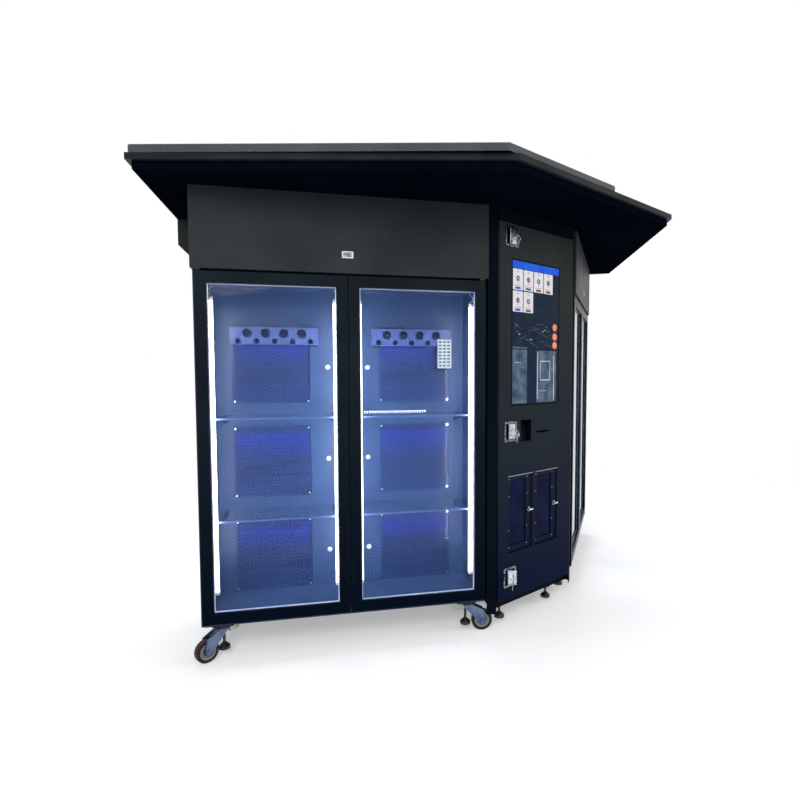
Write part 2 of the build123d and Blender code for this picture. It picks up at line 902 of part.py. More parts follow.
def build_centre_frame():
    """Portal of the service column: two folded corner posts, a lintel, a sill and door pins."""
    edge = service_half + post_gap
    post_bottom = base_height - post_drop
    sill_bottom = column_floor - column_rail
    lintel = service_top + post_gap
    with BuildPart() as frame:
        for side in (left, right):
            prism(Plane.XY.offset(base_height), post_points(side), roof_z - base_height)
            prism(Plane.XY.offset(post_bottom), skirt_points(side), base_height - post_bottom)
            plate(
                Plane.XY.offset(sill_bottom), side * edge, side * (edge + sheet),
                facet_y + post_recess, facet_y + post_depth, base_height - sill_bottom,
            )
        plate(facet_front(lintel_depth), -edge, edge, lintel, roof_z, lintel_depth)
        sill_depth = post_depth - service_thickness
        plate(facet_front(post_depth), -edge, edge, sill_bottom, column_floor, sill_depth)
        axis = service_half - service_pin_inset
        pin_y = facet_y + service_pin_setback
        half = hinge_bracket_width / 2
        plate(
            Plane.XY.offset(column_floor - hinge_bracket_thickness), axis - half, axis + half,
            facet_y, facet_y + service_thickness + overrun, hinge_bracket_thickness,
        )
        disc(Plane.XY.offset(column_floor), axis, pin_y, washer_radius, post_gap - seat_gap)
        disc(Plane.XY.offset(column_floor), axis, pin_y, service_pin_radius, post_gap + door_pin_depth)
        pin_base = service_top - door_pin_depth
        disc(Plane.XY.offset(pin_base), axis, pin_y, service_pin_radius, lintel - pin_base)
    save(frame.part, "centre_frame")


def column_points(inset, front):
    """Plan of the column's casing, which narrows backwards between the wings."""
    along = module_start - sheet - inset
    back = column_depth - inset
    return [
        wing_point(left, along, -front),
        wing_point(left, along, -back),
        wing_point(right, along, -back),
        wing_point(right, along, -front),
    ]


def centre_foot_places():
    """Where the column's three feet stand."""
    return (
        (-centre_foot_left, facet_y + centre_foot_setback),
        (centre_foot_right, facet_y + centre_foot_setback),
        (0, facet_y + centre_foot_rear),
    )


def build_centre_casing():
    """Sheet casing of the service column, open to its door, with sockets for three feet."""
    height = roof_z - column_floor
    with BuildPart() as casing:
        prism(Plane.XY.offset(column_floor), column_points(0, column_front), height)
        open_front = column_points(sheet, column_front - overrun)
        prism(Plane.XY.offset(column_floor + sheet), open_front, height - 2 * sheet, Mode.SUBTRACT)
        edge = service_half + post_gap
        for side in (left, right):
            plate(
                Plane.XY.offset(column_floor), side * edge, side * (edge + sheet),
                facet_y, facet_y + post_depth, height, Mode.SUBTRACT,
            )
        socket_bottom = column_floor - foot_socket_height
        for x, y in centre_foot_places():
            disc(Plane.XY.offset(socket_bottom), x, y, foot_socket_radius, foot_socket_height)
            bore = foot_stem_radius + running_fit
            disc(Plane.XY.offset(socket_bottom), x, y, bore, foot_socket_height, Mode.SUBTRACT)
    save(casing.part, "centre_casing")


def build_control_box():
    """Computer and power box on the column's back wall."""
    wall_y = column_points(sheet, column_front)[1][1]
    half = control_width / 2
    with BuildPart() as box:
        plate(
            facet_front(wall_y - facet_y), -half, half, control_bottom, control_bottom + control_height,
            control_depth,
        )
        fillet(box.faces().sort_by(Axis.Y)[0].edges(), control_fillet)
    save(box.part, "control_box")


def lock_plane(height, setback):
    """Upright plane at a lock's middle, set back from the door's face."""
    return Plane(origin=(lock_x, facet_y + setback, height), x_dir=(1, 0, 0), z_dir=(0, -1, 0))


def build_service_door():
    """Folded door pan with the cut-outs for screen, reader, slip slot, locks and hatches."""
    with BuildPart() as door:
        plate(
            facet_front(service_thickness), -service_half, service_half, base_height, service_top,
            service_thickness,
        )
        chamfer(door.faces().sort_by(Axis.Y)[0].edges(), frame_chamfer)
        plate(
            facet_front(service_thickness + overrun), sheet - service_half, service_half - sheet,
            base_height + sheet, service_top - sheet, service_thickness + overrun - sheet, Mode.SUBTRACT,
        )
        hatch_back = hatch_recess + hatch_thickness + bin_gap
        for start in hatch_lefts:
            plate(
                facet_front(hatch_back), start - bin_margin, start + hatch_width + bin_margin,
                hatch_bottom - bin_margin, hatch_bottom + hatch_height + bin_margin, hatch_back - sheet / 2,
            )
        pivot = service_half - service_pin_inset
        block = service_pin_inset - sheet / 2
        for z in (base_height, service_top - door_pin_depth - 2 * seat_gap):
            plate(
                Plane.XY.offset(z), pivot - block, pivot + block,
                facet_y + sheet / 2, facet_y + service_thickness, door_pin_depth + 2 * seat_gap,
            )
        through = service_thickness + 2 * overrun
        cut_plane = facet_front(service_thickness + overrun)
        for start in hatch_lefts:
            plate(
                cut_plane, start, start + hatch_width, hatch_bottom, hatch_bottom + hatch_height,
                through, Mode.SUBTRACT,
            )
        plate(
            cut_plane, screen_left, screen_left + screen_width, screen_top - screen_height, screen_top,
            through, Mode.SUBTRACT,
        )
        plate(
            cut_plane, reader_left, reader_left + reader_width, reader_top - reader_height, reader_top,
            through, Mode.SUBTRACT,
        )
        with BuildSketch(cut_plane) as slot:
            with Locations((slot_left + slot_width / 2, slot_z)):
                SlotOverall(slot_width, slot_height)
        extrude(slot.sketch, amount=through, mode=Mode.SUBTRACT)
        for height in lock_heights:
            half_w = dish_width / 2 + running_fit
            half_h = dish_height / 2 + running_fit
            plate(
                cut_plane, lock_x - half_w, lock_x + half_w, height - half_h, height + half_h,
                through, Mode.SUBTRACT,
            )
        pin_y = facet_y + service_pin_setback
        bore = service_pin_radius + running_fit
        depth = door_pin_depth + seat_gap + overrun
        for low in (base_height - overrun, service_top - door_pin_depth - seat_gap):
            disc(Plane.XY.offset(low), pivot, pin_y, bore, depth, Mode.SUBTRACT)
        slot_back = hatch_back + overrun
        slot_half = knob_cam_width / 2 + knob_cam_clearance
        slot_depth = overrun + hatch_back - hatch_recess - hatch_thickness
        for start in hatch_lefts:
            slot_start = start + hatch_width
            plate(
                facet_front(slot_back), slot_start, slot_start + bin_margin,
                knob_z - slot_half, knob_z + knob_cam_length, slot_depth, Mode.SUBTRACT,
            )
            hinge_y = facet_y + hatch_recess + hatch_pin_setback
            hinge_x = start + hatch_clearance + hatch_pin_inset
            low = hatch_bottom - bin_margin
            high = hatch_height + 2 * bin_margin
            disc(Plane.XY.offset(low), hinge_x, hinge_y, hatch_pin_radius + running_fit, high, Mode.SUBTRACT)
    save(door.part, "service_door")


def build_screen():
    """Touch monitor: its glass stands in the door's cut-out and its body lies behind the sheet."""
    bottom = screen_top - screen_height
    fit = running_fit
    margin = screen_body_margin
    with BuildPart() as screen:
        plate(
            facet_front(sheet), screen_left + fit, screen_left + screen_width - fit,
            bottom + fit, screen_top - fit, sheet - screen_recess,
        )
        plate(
            facet_front(sheet + screen_body_depth), screen_left - margin,
            screen_left + screen_width + margin, bottom - margin, screen_top + margin, screen_body_depth,
        )
    save(screen.part, "touch_screen")


def build_card_reader():
    """Card reader: a dark pocket with a sloped sensing face, clipped into the door."""
    fit = running_fit
    left_x = reader_left + fit
    right_x = reader_left + reader_width - fit
    bottom = reader_top - reader_height + fit
    top = reader_top - fit
    flange = reader_wall
    with BuildPart() as reader:
        plate(facet_front(reader_depth), left_x, right_x, bottom, top, reader_depth)
        plate(
            facet_front(sheet + reader_wall), left_x - flange, right_x + flange,
            bottom - flange, top + flange, reader_wall,
        )
        low = bottom + reader_wall
        high = top - reader_wall
        mouth_y = facet_y - overrun
        pocket_back = facet_y + reader_depth - reader_wall
        section = Plane(origin=(left_x + reader_wall, 0, 0), x_dir=(0, 1, 0), z_dir=(1, 0, 0))
        points = [(mouth_y, low), (pocket_back - reader_slope, low), (pocket_back, high), (mouth_y, high)]
        prism(section, points, right_x - left_x - 2 * reader_wall, Mode.SUBTRACT)
    save(reader.part, "card_reader")


def build_lock_bases():
    """Chrome paddle-lock dishes, each with a pin that its paddle turns on."""
    with BuildPart() as bases:
        for height in lock_heights:
            with BuildSketch(lock_plane(height, 0)) as rim:
                RectangleRounded(lock_width, lock_height, lock_corner)
            extrude(rim.sketch, amount=lock_plate)
            plate(
                lock_plane(height, 0), -dish_width / 2, dish_width / 2, -dish_height / 2, dish_height / 2,
                -dish_depth,
            )
            half_w = dish_width / 2 - dish_wall
            half_h = dish_height / 2 - dish_wall
            plate(
                lock_plane(height, -lock_plate), -half_w, half_w, -half_h, half_h,
                dish_wall - dish_depth - lock_plate, Mode.SUBTRACT,
            )
            disc(
                Plane.XY.offset(height - half_h), lock_x - paddle_pin_offset, facet_y,
                paddle_pin_radius, 2 * half_h,
            )
    save(bases.part, "lock_bases")


def build_paddle(name, height, angle):
    """Lock paddle: barrel on the pin, plate with a turned lip, and the key cylinder."""
    pivot = Plane(
        origin=(lock_x - paddle_pin_offset, facet_y, height),
        x_dir=(cos(radians(angle)), -sin(radians(angle)), 0),
        z_dir=(-sin(radians(angle)), -cos(radians(angle)), 0),
    )
    half = paddle_height / 2
    barrel_plane = Plane(origin=pivot.origin - Vector(0, 0, half), x_dir=pivot.x_dir, z_dir=(0, 0, 1))
    lip_start = paddle_width - paddle_thickness
    with BuildPart() as paddle:
        disc(barrel_plane, 0, 0, paddle_barrel_radius, paddle_height)
        plate(pivot, 0, paddle_width, -half, half, paddle_thickness)
        plate(pivot, lip_start, paddle_width, -half, half, -paddle_lip)
        disc(pivot, cylinder_offset, 0, cylinder_radius, paddle_thickness + cylinder_proud)
        disc(pivot, cylinder_offset, 0, cylinder_radius, -cylinder_length)
        tip = pivot.offset(paddle_thickness + cylinder_proud)
        reach = keyway_height / 2
        plate(
            tip, cylinder_offset - keyway_width / 2, cylinder_offset + keyway_width / 2, -reach, reach,
            -paddle_thickness, Mode.SUBTRACT,
        )
        disc(barrel_plane, 0, 0, paddle_pin_radius + running_fit, paddle_height, Mode.SUBTRACT)
    save(paddle.part, name)


def build_hatch(name, start):
    """Pick-up hatch: a flat frame round its window, with pins at its left edge."""
    face = hatch_recess
    left_x = start + hatch_clearance
    right_x = start + hatch_width - hatch_clearance
    bottom = hatch_bottom + hatch_clearance
    top = hatch_bottom + hatch_height - hatch_clearance
    window_left = start + window_left_margin
    window_right = window_left + window_width
    window_bottom = hatch_bottom + window_bottom_margin
    window_top = hatch_bottom + hatch_height - window_top_margin
    back = face + hatch_thickness
    with BuildPart() as hatch:
        plate(facet_front(back), left_x, right_x, bottom, top, hatch_thickness)
        chamfer(hatch.faces().sort_by(Axis.Y)[0].edges(), frame_chamfer)
        plate(
            facet_front(back + overrun), window_left, window_right, window_bottom, window_top,
            hatch_thickness + 2 * overrun, Mode.SUBTRACT,
        )
        lap = window_lap
        plate(
            facet_front(back + overrun), window_left - lap, window_right + lap,
            window_bottom - lap, window_top + lap, overrun + window_thickness, Mode.SUBTRACT,
        )
        hinge_y = facet_y + face + hatch_pin_setback
        low = hatch_bottom - hatch_pin_depth / 2
        high = top - hatch_pin_depth / 2
        disc(Plane.XY.offset(low), left_x + hatch_pin_inset, hinge_y, hatch_pin_radius, hatch_pin_depth)
        disc(Plane.XY.offset(high), left_x + hatch_pin_inset, hinge_y, hatch_pin_radius, hatch_pin_depth)
        bore = knob_shaft_radius + running_fit
        knob_x = start + hatch_width - knob_edge_distance
        disc(facet_front(back + overrun), knob_x, knob_z, bore, hatch_thickness + 2 * overrun, Mode.SUBTRACT)
    save(hatch.part, name)
    fit = running_fit
    with BuildPart() as window:
        plate(
            facet_front(back), window_left - lap + fit, window_right + lap - fit,
            window_bottom - lap + fit, window_top + lap - fit, window_thickness,
        )
    save(window.part, name + "_window")


def build_knob(name, start):
    """Hatch knob: rose, neck and round cross grip in front, shaft and cam behind."""
    knob_x = start + hatch_width - knob_edge_distance
    front = hatch_recess - seat_gap
    back = hatch_recess + hatch_thickness + seat_gap + knob_cam_thickness
    half = knob_cam_width / 2
    with BuildPart() as knob:
        disc(facet_front(front), knob_x, knob_z, knob_rose_radius, knob_rose_height)
        disc(facet_front(front), knob_x, knob_z, knob_neck_radius, knob_neck_length)
        disc(facet_front(back), knob_x, knob_z, knob_shaft_radius, back - front)
        grip = Plane(
            origin=(knob_x - knob_grip_length / 2, facet_y + front - knob_neck_length, knob_z),
            x_dir=(0, 1, 0),
            z_dir=(1, 0, 0),
        )
        disc(grip, 0, 0, knob_grip_radius, knob_grip_length)
        plate(
            facet_front(back), knob_x - half, knob_x + half, knob_z - half, knob_z + knob_cam_length,
            knob_cam_thickness,
        )
    save(knob.part, name)


def build_bins():
    """Sheet pick-up bins behind the hatches, open to the front."""
    front = hatch_recess + hatch_thickness + bin_gap
    with BuildPart() as bins:
        for start in hatch_lefts:
            x0 = start - bin_sheet
            x1 = start + hatch_width + bin_sheet
            z0 = hatch_bottom - bin_sheet
            z1 = hatch_bottom + hatch_height + bin_sheet
            plate(facet_front(front), x0, x1, z0, z1, -bin_depth)
            plate(
                facet_front(front - overrun), start, start + hatch_width,
                hatch_bottom, hatch_bottom + hatch_height, bin_sheet - bin_depth - overrun, Mode.SUBTRACT,
            )
    save(bins.part, "pickup_bins")


# Casters and feet
def caster_along(inner):
    """Distance along the wing of a caster's swivel."""
    return module_start + caster_inset if inner else module_end - caster_inset


def caster_way(inner):
    """Which way along the wing a front caster trails."""
    return -1 if inner else 1


def upright(side, along, out):
    """Upright plane at a place on a wing, parallel to its face."""
    x, y = wing_point(side, along, out)
    normal = (side * turn_sin, -turn_cos, 0)
    return Plane(origin=(x, y, 0), x_dir=(turn_cos, side * turn_sin, 0), z_dir=normal)


def swivel_plane(side, inner):
    """Upright plane through a front caster's swivel, turned the way the caster stands."""
    x, y = wing_point(side, caster_along(inner), -caster_setback)
    turn = side * caster_way(inner) * caster_turns[side, inner]
    heading = radians(side * wing_turn - turn)
    along = (cos(heading), sin(heading), 0)
    return Plane(origin=(x, y, 0), x_dir=along, z_dir=(sin(heading), -cos(heading), 0))


def build_wheel(name, plane, middle):
    """Wheel: round-shouldered tyre on a recessed hub with a boss, bored for its axle."""
    half = wheel_width / 2
    with BuildPart() as wheel:
        disc(plane.offset(-half), middle, wheel_radius, wheel_radius, wheel_width)
        fillet(wheel.edges().filter_by(GeomType.CIRCLE), wheel_tread_round)
        for face_plane, way in ((plane.offset(half), -1), (plane.offset(-half), 1)):
            with BuildSketch(face_plane) as recess:
                with Locations((middle, wheel_radius)):
                    Circle(hub_radius)
                    Circle(hub_boss_radius, mode=Mode.SUBTRACT)
            extrude(recess.sketch, amount=way * hub_recess, mode=Mode.SUBTRACT)
        bore = axle_radius + running_fit
        disc(plane.offset(-half), middle, wheel_radius, bore, wheel_width, Mode.SUBTRACT)
    save(wheel.part, name)


def cheek_points(x, top):
    """Outline of a fork cheek, which slopes down from the turntable to its nose over the axle."""
    crest = caster_trail * cheek_crest_share
    return [
        (x * -fork_shoulder / 2, top),
        (x * crest, top),
        (x * (caster_trail - cheek_nose), wheel_radius + cheek_brow),
        (x * (caster_trail + cheek_nose), wheel_radius + cheek_brow - cheek_nose),
        (x * (caster_trail + fork_foot_radius), wheel_radius),
        (x * (caster_trail - fork_foot_radius), wheel_radius - fork_foot_radius / 2),
    ]


def add_fork(plane, points, axle_x):
    """Adds two cheeks, their rounded feet and the axle to the part in hand."""
    inner = wheel_width / 2 + fork_side_gap
    for offset_out in (inner, -inner - fork_cheek):
        prism(plane.offset(offset_out), points, fork_cheek)
        disc(plane.offset(offset_out), axle_x, wheel_radius, fork_foot_radius, fork_cheek)
    length = 2 * (inner + fork_cheek + axle_head)
    disc(plane.offset(-length / 2), axle_x, wheel_radius, axle_radius, length)
    for head in (inner + fork_cheek, -inner - fork_cheek - axle_head):
        disc(plane.offset(head), axle_x, wheel_radius, axle_head_radius, axle_head)


def build_swivel_fork(name, side, inner):
    """Swivelling caster body: turntable, fork with axle, and the adjuster block behind the swivel."""
    way = caster_way(inner)
    plane = swivel_plane(side, inner)
    table_top = base_height - caster_plate_thickness - race_height - seat_gap
    table_bottom = table_top - turntable_thickness
    axle_x = side * way * caster_trail
    start = side * way
    with BuildPart() as fork:
        half = wheel_width / 2 + fork_side_gap + fork_cheek
        with BuildSketch(plane.offset(-half)) as table:
            with BuildLine():
                Polyline(
                    (start * -counter_start, table_bottom),
                    (start * (table_reach + turntable_thickness), table_bottom),
                    (start * table_reach, table_top),
                    (start * -counter_start, table_top),
                    close=True,
                )
            make_face()
        extrude(table.sketch, amount=2 * half)
        disc(
            Plane(origin=plane.origin + Vector(0, 0, table_bottom), x_dir=plane.x_dir, z_dir=(0, 0, 1)),
            0, 0, race_radius, turntable_thickness,
        )
        add_fork(plane, cheek_points(start, table_bottom), axle_x)
        counter_half = counter_width / 2
        counter_points = [
            (start * -counter_start, table_top),
            (start * -counter_start, table_top - counter_height),
            (start * (fork_foot_radius - counter_start - counter_length), table_top - counter_height),
            (start * (-counter_start - counter_length), table_top - turntable_thickness),
            (start * (-counter_start - counter_length), table_top),
        ]
        prism(plane.offset(-counter_half), counter_points, counter_width)
        bore_plane = Plane(origin=plane.origin, x_dir=plane.x_dir, z_dir=(0, 0, 1)).offset(foot_clearance)
        disc(bore_plane, 0, 0, sleeve_radius + running_fit, base_height, Mode.SUBTRACT)
    save(fork.part, name)


def foot_profile(plane, top):
    """Adds a levelling foot to the part in hand: pad, cone, neck and threaded stem."""
    low = foot_clearance
    points = [
        (0, low),
        (foot_pad_radius - frame_chamfer, low),
        (foot_pad_radius, low + frame_chamfer),
        (foot_pad_radius, low + foot_pad_height),
        (foot_neck_radius, low + foot_pad_height + foot_cone_height),
        (foot_stem_radius, low + foot_pad_height + foot_cone_height),
        (foot_stem_radius, top),
        (0, top),
    ]
    with BuildSketch(plane) as half:
        with BuildLine():
            Polyline(*points, close=True)
        make_face()
    revolve(half.sketch, axis=Axis(plane.origin, (0, 0, 1)))


def build_caster_foot(name, side, inner):
    """Levelling foot in the middle of a front caster."""
    with BuildPart() as foot:
        foot_profile(upright(side, caster_along(inner), -caster_setback), base_height - foot_stem_top_gap)
    save(foot.part, name)


def build_centre_feet():
    """Three levelling feet under the service column."""
    top = column_floor - foot_stem_top_gap
    with BuildPart() as feet:
        for x, y in centre_foot_places():
            foot_profile(Plane(origin=(x, y, 0), x_dir=(1, 0, 0), z_dir=(0, -1, 0)), top)
    save(feet.part, "centre_feet")


def build_caster_mounts():
    """Fixed caster parts: plates with race and sleeve in front, rigid forks behind."""
    plate_z = base_height - caster_plate_thickness
    half_length = caster_plate_length / 2
    half_width = caster_plate_width / 2
    with BuildPart() as mounts:
        for side in (left, right):
            for inner in (True, False):
                along = caster_along(inner)
                out = -caster_setback
                wing_slab(
                    side, along - half_length, along + half_length, out - half_width, out + half_width,
                    plate_z, base_height,
                )
                across = -side * out
                disc(wing_floor(side, plate_z - race_height), along, across, race_radius, race_height)
                sleeve_z = plate_z - sleeve_length
                disc(wing_floor(side, sleeve_z), along, across, sleeve_radius, sleeve_length)
                bore = foot_stem_radius + running_fit
                disc(
                    wing_floor(side, sleeve_z), along, across, bore,
                    sleeve_length + caster_plate_thickness - sheet, Mode.SUBTRACT,
                )
                rear = -rear_caster_setback
                wing_slab(
                    side, along - half_length, along + half_length, rear - half_width, rear + half_width,
                    plate_z, base_height,
                )
                plane = upright(side, along, rear)
                points = [
                    (-fork_shoulder, plate_z),
                    (fork_shoulder, plate_z),
                    (fork_foot_radius, wheel_radius),
                    (-fork_foot_radius, wheel_radius),
                ]
                add_fork(plane, points, 0)
    save(mounts.part, "caster_mounts")


def build_casters():
    """Swivel casters with feet in front, and the rear wheels."""
    for side in (left, right):
        for inner in (True, False):
            place = side_names[side] + ("_inner_" if inner else "_outer_")
            along = caster_along(inner)
            build_swivel_fork(place + "caster_fork", side, inner)
            axle_x = side * caster_way(inner) * caster_trail
            build_wheel(place + "caster_wheel", swivel_plane(side, inner), axle_x)
            build_caster_foot(place + "caster_foot", side, inner)
            build_wheel(place + "rear_wheel", upright(side, along, -rear_caster_setback), 0)


def build_all():
    """Builds and writes every part."""
    for side in (left, right):
        build_casing(side)
        build_liner(side)
    build_headers()
    build_canopy()
    build_soffits()
    build_cap()
    build_gussets()
    build_thermometers()
    build_mullions()
    build_duct_covers()
    build_back_windows()
    build_shelves()
    build_shelf_arms()
    build_light_tubes()
    build_doors()
    build_door_hinges()
    build_centre_frame()
    build_centre_casing()
    build_control_box()
    build_service_door()
    build_screen()
    build_card_reader()
    build_lock_bases()
    for name, height, angle in zip(("top", "middle", "bottom"), lock_heights, paddle_open_angles):
        build_paddle(name + "_lock_paddle", height, angle)
    for name, start in zip(("left_hatch", "right_hatch"), hatch_lefts):
        build_hatch(name, start)
        build_knob(name + "_knob", start)
    build_bins()
    build_caster_mounts()
    build_casters()
    build_centre_feet()


build_all()
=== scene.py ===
import math
import random

import bmesh
import bpy
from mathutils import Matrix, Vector


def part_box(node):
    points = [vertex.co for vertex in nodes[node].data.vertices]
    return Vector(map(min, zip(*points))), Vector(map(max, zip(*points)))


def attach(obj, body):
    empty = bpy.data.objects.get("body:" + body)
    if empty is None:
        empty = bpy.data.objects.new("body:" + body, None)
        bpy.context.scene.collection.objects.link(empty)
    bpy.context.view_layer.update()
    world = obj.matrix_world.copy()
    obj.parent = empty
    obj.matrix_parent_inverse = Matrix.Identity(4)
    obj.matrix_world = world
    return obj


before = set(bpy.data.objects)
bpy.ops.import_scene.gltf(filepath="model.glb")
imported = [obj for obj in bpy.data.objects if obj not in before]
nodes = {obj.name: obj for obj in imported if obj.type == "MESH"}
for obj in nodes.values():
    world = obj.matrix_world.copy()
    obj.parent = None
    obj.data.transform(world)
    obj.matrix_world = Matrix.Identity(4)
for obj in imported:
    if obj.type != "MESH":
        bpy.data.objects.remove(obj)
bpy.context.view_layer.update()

scene = bpy.context.scene

# Plan of the cabinet, in metres
half_centre = 0.300
wing_turn = math.radians(30)
facet_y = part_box("centre_frame")[0].y
left, right = -1, 1
side_names = {left: "left", right: "right"}
door_spans = {"inner": (0.058, 0.678), "outer": (0.682, 1.302)}
tier_centres = (0.363, 0.815, 1.267)
window_middles = (0.334, 1.026)
back_out, window_out, rear_out = -0.335, -0.330, -0.600
caster_alongs, caster_outs = (0.132, 1.228), (-0.080, -0.520)
hatch_starts, hatch_width = {"left_hatch": -0.222, "right_hatch": -0.016}, 0.186

# Where a node's finish changes
gasket_out, behind_turntables, dish_depth = -0.0401, -0.3, 0.002
tube_low, tube_high = 0.3061, 1.5329
race_top, block_start = 0.131, -0.0165
hub_radius, half_tread = 0.0385, 0.016
screw_across, screw_up, screw_reach = 0.169, 0.161, 0.006


def wing_point(side, along, out, z):
    """A point on a wing: along its face from the corner, out from the face, and up."""
    x = side * (half_centre + along * math.cos(wing_turn) + out * math.sin(wing_turn))
    y = facet_y + along * math.sin(wing_turn) - out * math.cos(wing_turn)
    return Vector((x, y, z))


def facet_point(x, out, z):
    """A point on the service column, out from its front face."""
    return Vector((x, facet_y - out, z))


def link_object(name, data):
    """A new object in the scene."""
    made = bpy.data.objects.new(name, data)
    scene.collection.objects.link(made)
    return made


def mesh_of(name, bm):
    """Turns a bmesh into a mesh, and frees it."""
    mesh = bpy.data.meshes.new(name)
    bm.to_mesh(mesh)
    bm.free()
    return mesh


# Camera, at the photograph's viewing angle
data = bpy.data.cameras.new("photo_camera")
data.sensor_width = 36
data.lens = 25.58
data.shift_x = -0.0609
data.shift_y = 0.0071
data.clip_start = 0.05
data.clip_end = 60
camera = link_object("photo_camera", data)
camera.location = (-2.2677, -2.2152, 1.246)
camera.rotation_euler = (math.radians(86.6), 0, math.radians(-43.1))
scene.camera = camera
scene.view_settings.view_transform = "Standard"


# Small helpers for node trees
def feed(tree, node, inputs):
    """Fills or links a node's inputs, by name or number."""
    for key, value in inputs.items():
        socket = node.inputs[key]
        if isinstance(value, bpy.types.NodeSocket):
            tree.links.new(value, socket)
        else:
            socket.default_value = value


def place(tree, kind, inputs=None, **settings):
    """Adds a node, sets its properties and feeds its inputs."""
    made = tree.nodes.new(kind)
    for key, value in settings.items():
        setattr(made, key, value)
    feed(tree, made, inputs or {})
    return made


def group_tree(name, takes, gives, kind="ShaderNodeTree"):
    """A node group, its input and its output node. A socket is given by its default value or its type."""
    tree = bpy.data.node_groups.new(name, kind)
    for label, value in takes.items():
        numbers = len(value) if isinstance(value, tuple) else 1
        sort = value if isinstance(value, str) else {1: "Float", 3: "Vector", 4: "Color"}[numbers]
        socket = tree.interface.new_socket(label, in_out="INPUT", socket_type="NodeSocket" + sort)
        if sort != value:
            socket.default_value = value
    for label, sort in gives.items():
        tree.interface.new_socket(label, in_out="OUTPUT", socket_type="NodeSocket" + sort)
    return tree, tree.nodes.new("NodeGroupInput"), tree.nodes.new("NodeGroupOutput")


def math_node(tree, operation, a, b=0.0, clamp=False):
    return place(tree, "ShaderNodeMath", {0: a, 1: b}, operation=operation, use_clamp=clamp).outputs[0]


def vector_node(tree, operation, a, b, output=0):
    return place(tree, "ShaderNodeVectorMath", {0: a, 1: b}, operation=operation).outputs[output]


def mix_colour(tree, factor, a, b):
    return place(tree, "ShaderNodeMix", {0: factor, 6: a, 7: b}, data_type="RGBA").outputs[2]


def map_range(tree, value, low, high, start=0.0, end=1.0):
    return place(tree, "ShaderNodeMapRange", {0: value, 1: low, 2: high, 3: start, 4: end}).outputs[0]


def noise(tree, where, scale, detail):
    return place(tree, "ShaderNodeTexNoise", {"Vector": where, "Scale": scale, "Detail": detail}).outputs[0]


def object_place(tree):
    """Where a point lies in the machine's frame."""
    return place(tree, "ShaderNodeTexCoord").outputs["Object"]


def height_of(tree, vector):
    return place(tree, "ShaderNodeSeparateXYZ", {0: vector}).outputs["Z"]


def swing(tree, value, middle, spread):
    """A roughness that swings about its middle with a value from 0 to 1."""
    offset = math_node(tree, "MULTIPLY", math_node(tree, "SUBTRACT", value, 0.5), spread)
    return math_node(tree, "ADD", offset, middle, True)


# Effects shared by the finishes
def make_mottle():
    """Soft changes of colour and roughness over a surface."""
    tree, taken, given = group_tree(
        "mottle",
        {"Colour": (0.5, 0.5, 0.5, 1), "Second Colour": (0.4, 0.4, 0.4, 1), "Scale": 6.0, "Roughness": 0.5,
         "Spread": 0.08},
        {"Colour": "Color", "Roughness": "Float"})
    share = map_range(tree, noise(tree, object_place(tree), taken.outputs["Scale"], 4.0), 0.35, 0.65)
    feed(tree, given, {
        "Colour": mix_colour(tree, share, taken.outputs["Colour"], taken.outputs["Second Colour"]),
        "Roughness": swing(tree, share, taken.outputs["Roughness"], taken.outputs["Spread"])})
    return tree


def make_grain():
    """The fine orange peel of a sprayed or powder-coated surface."""
    tree, taken, given = group_tree("fine_grain", {"Scale": 900.0, "Flecks": 0.3}, {"Height": "Float"})
    where, scale = object_place(tree), taken.outputs["Scale"]
    cells = place(tree, "ShaderNodeTexVoronoi", {"Vector": where, "Scale": scale}).outputs["Distance"]
    flecks = math_node(tree, "MULTIPLY", cells, taken.outputs["Flecks"])
    feed(tree, given, {"Height": math_node(tree, "ADD", noise(tree, where, scale, 2.0), flecks)})
    return tree


def make_brushing():
    """Fine lines along one direction, as on drawn metal, or fine marks where the stretch is even."""
    tree, taken, given = group_tree(
        "brushing", {"Stretch": (1.0, 1.0, 60.0), "Scale": 30.0, "Roughness": 0.3, "Spread": 0.15},
        {"Height": "Float", "Roughness": "Float"})
    drawn = vector_node(tree, "MULTIPLY", object_place(tree), taken.outputs["Stretch"])
    lines = noise(tree, drawn, taken.outputs["Scale"], 5.0)
    feed(tree, given, {
        "Height": lines,
        "Roughness": swing(tree, lines, taken.outputs["Roughness"], taken.outputs["Spread"])})
    return tree


def make_edge_wear_and_highlight():
    """Where a sharp edge has lost some of its coat; on the canopy rim and trays it also paints a highlight
    along the edges.
    """
    tree, taken, given = group_tree(
        "edge_wear", {"Width": 0.002, "Amount": 0.5, "Scale": 60.0}, {"Mask": "Float"})
    rounded = place(tree, "ShaderNodeBevel", {"Radius": taken.outputs["Width"]}, samples=4).outputs[0]
    plain = place(tree, "ShaderNodeNewGeometry").outputs["Normal"]
    edge = map_range(tree, vector_node(tree, "DOT_PRODUCT", rounded, plain, "Value"), 0.995, 0.9)
    patchy = map_range(tree, noise(tree, object_place(tree), taken.outputs["Scale"], 5.0), 0.42, 0.66)
    worn = math_node(tree, "MULTIPLY", edge, patchy)
    feed(tree, given, {"Mask": math_node(tree, "MULTIPLY", worn, taken.outputs["Amount"], True)})
    return tree


def make_dust():
    """Dust that settles on faces that look up."""
    tree, taken, given = group_tree("settled_dust", {"Amount": 0.2, "Scale": 14.0}, {"Mask": "Float"})
    facing = place(tree, "ShaderNodeNewGeometry").outputs["Normal"]
    upward = map_range(tree, height_of(tree, facing), 0.4, 1.0)
    drift = noise(tree, object_place(tree), taken.outputs["Scale"], 6.0)
    settled = math_node(tree, "MULTIPLY", upward, drift)
    feed(tree, given, {"Mask": math_node(tree, "MULTIPLY", settled, taken.outputs["Amount"], True)})
    return tree


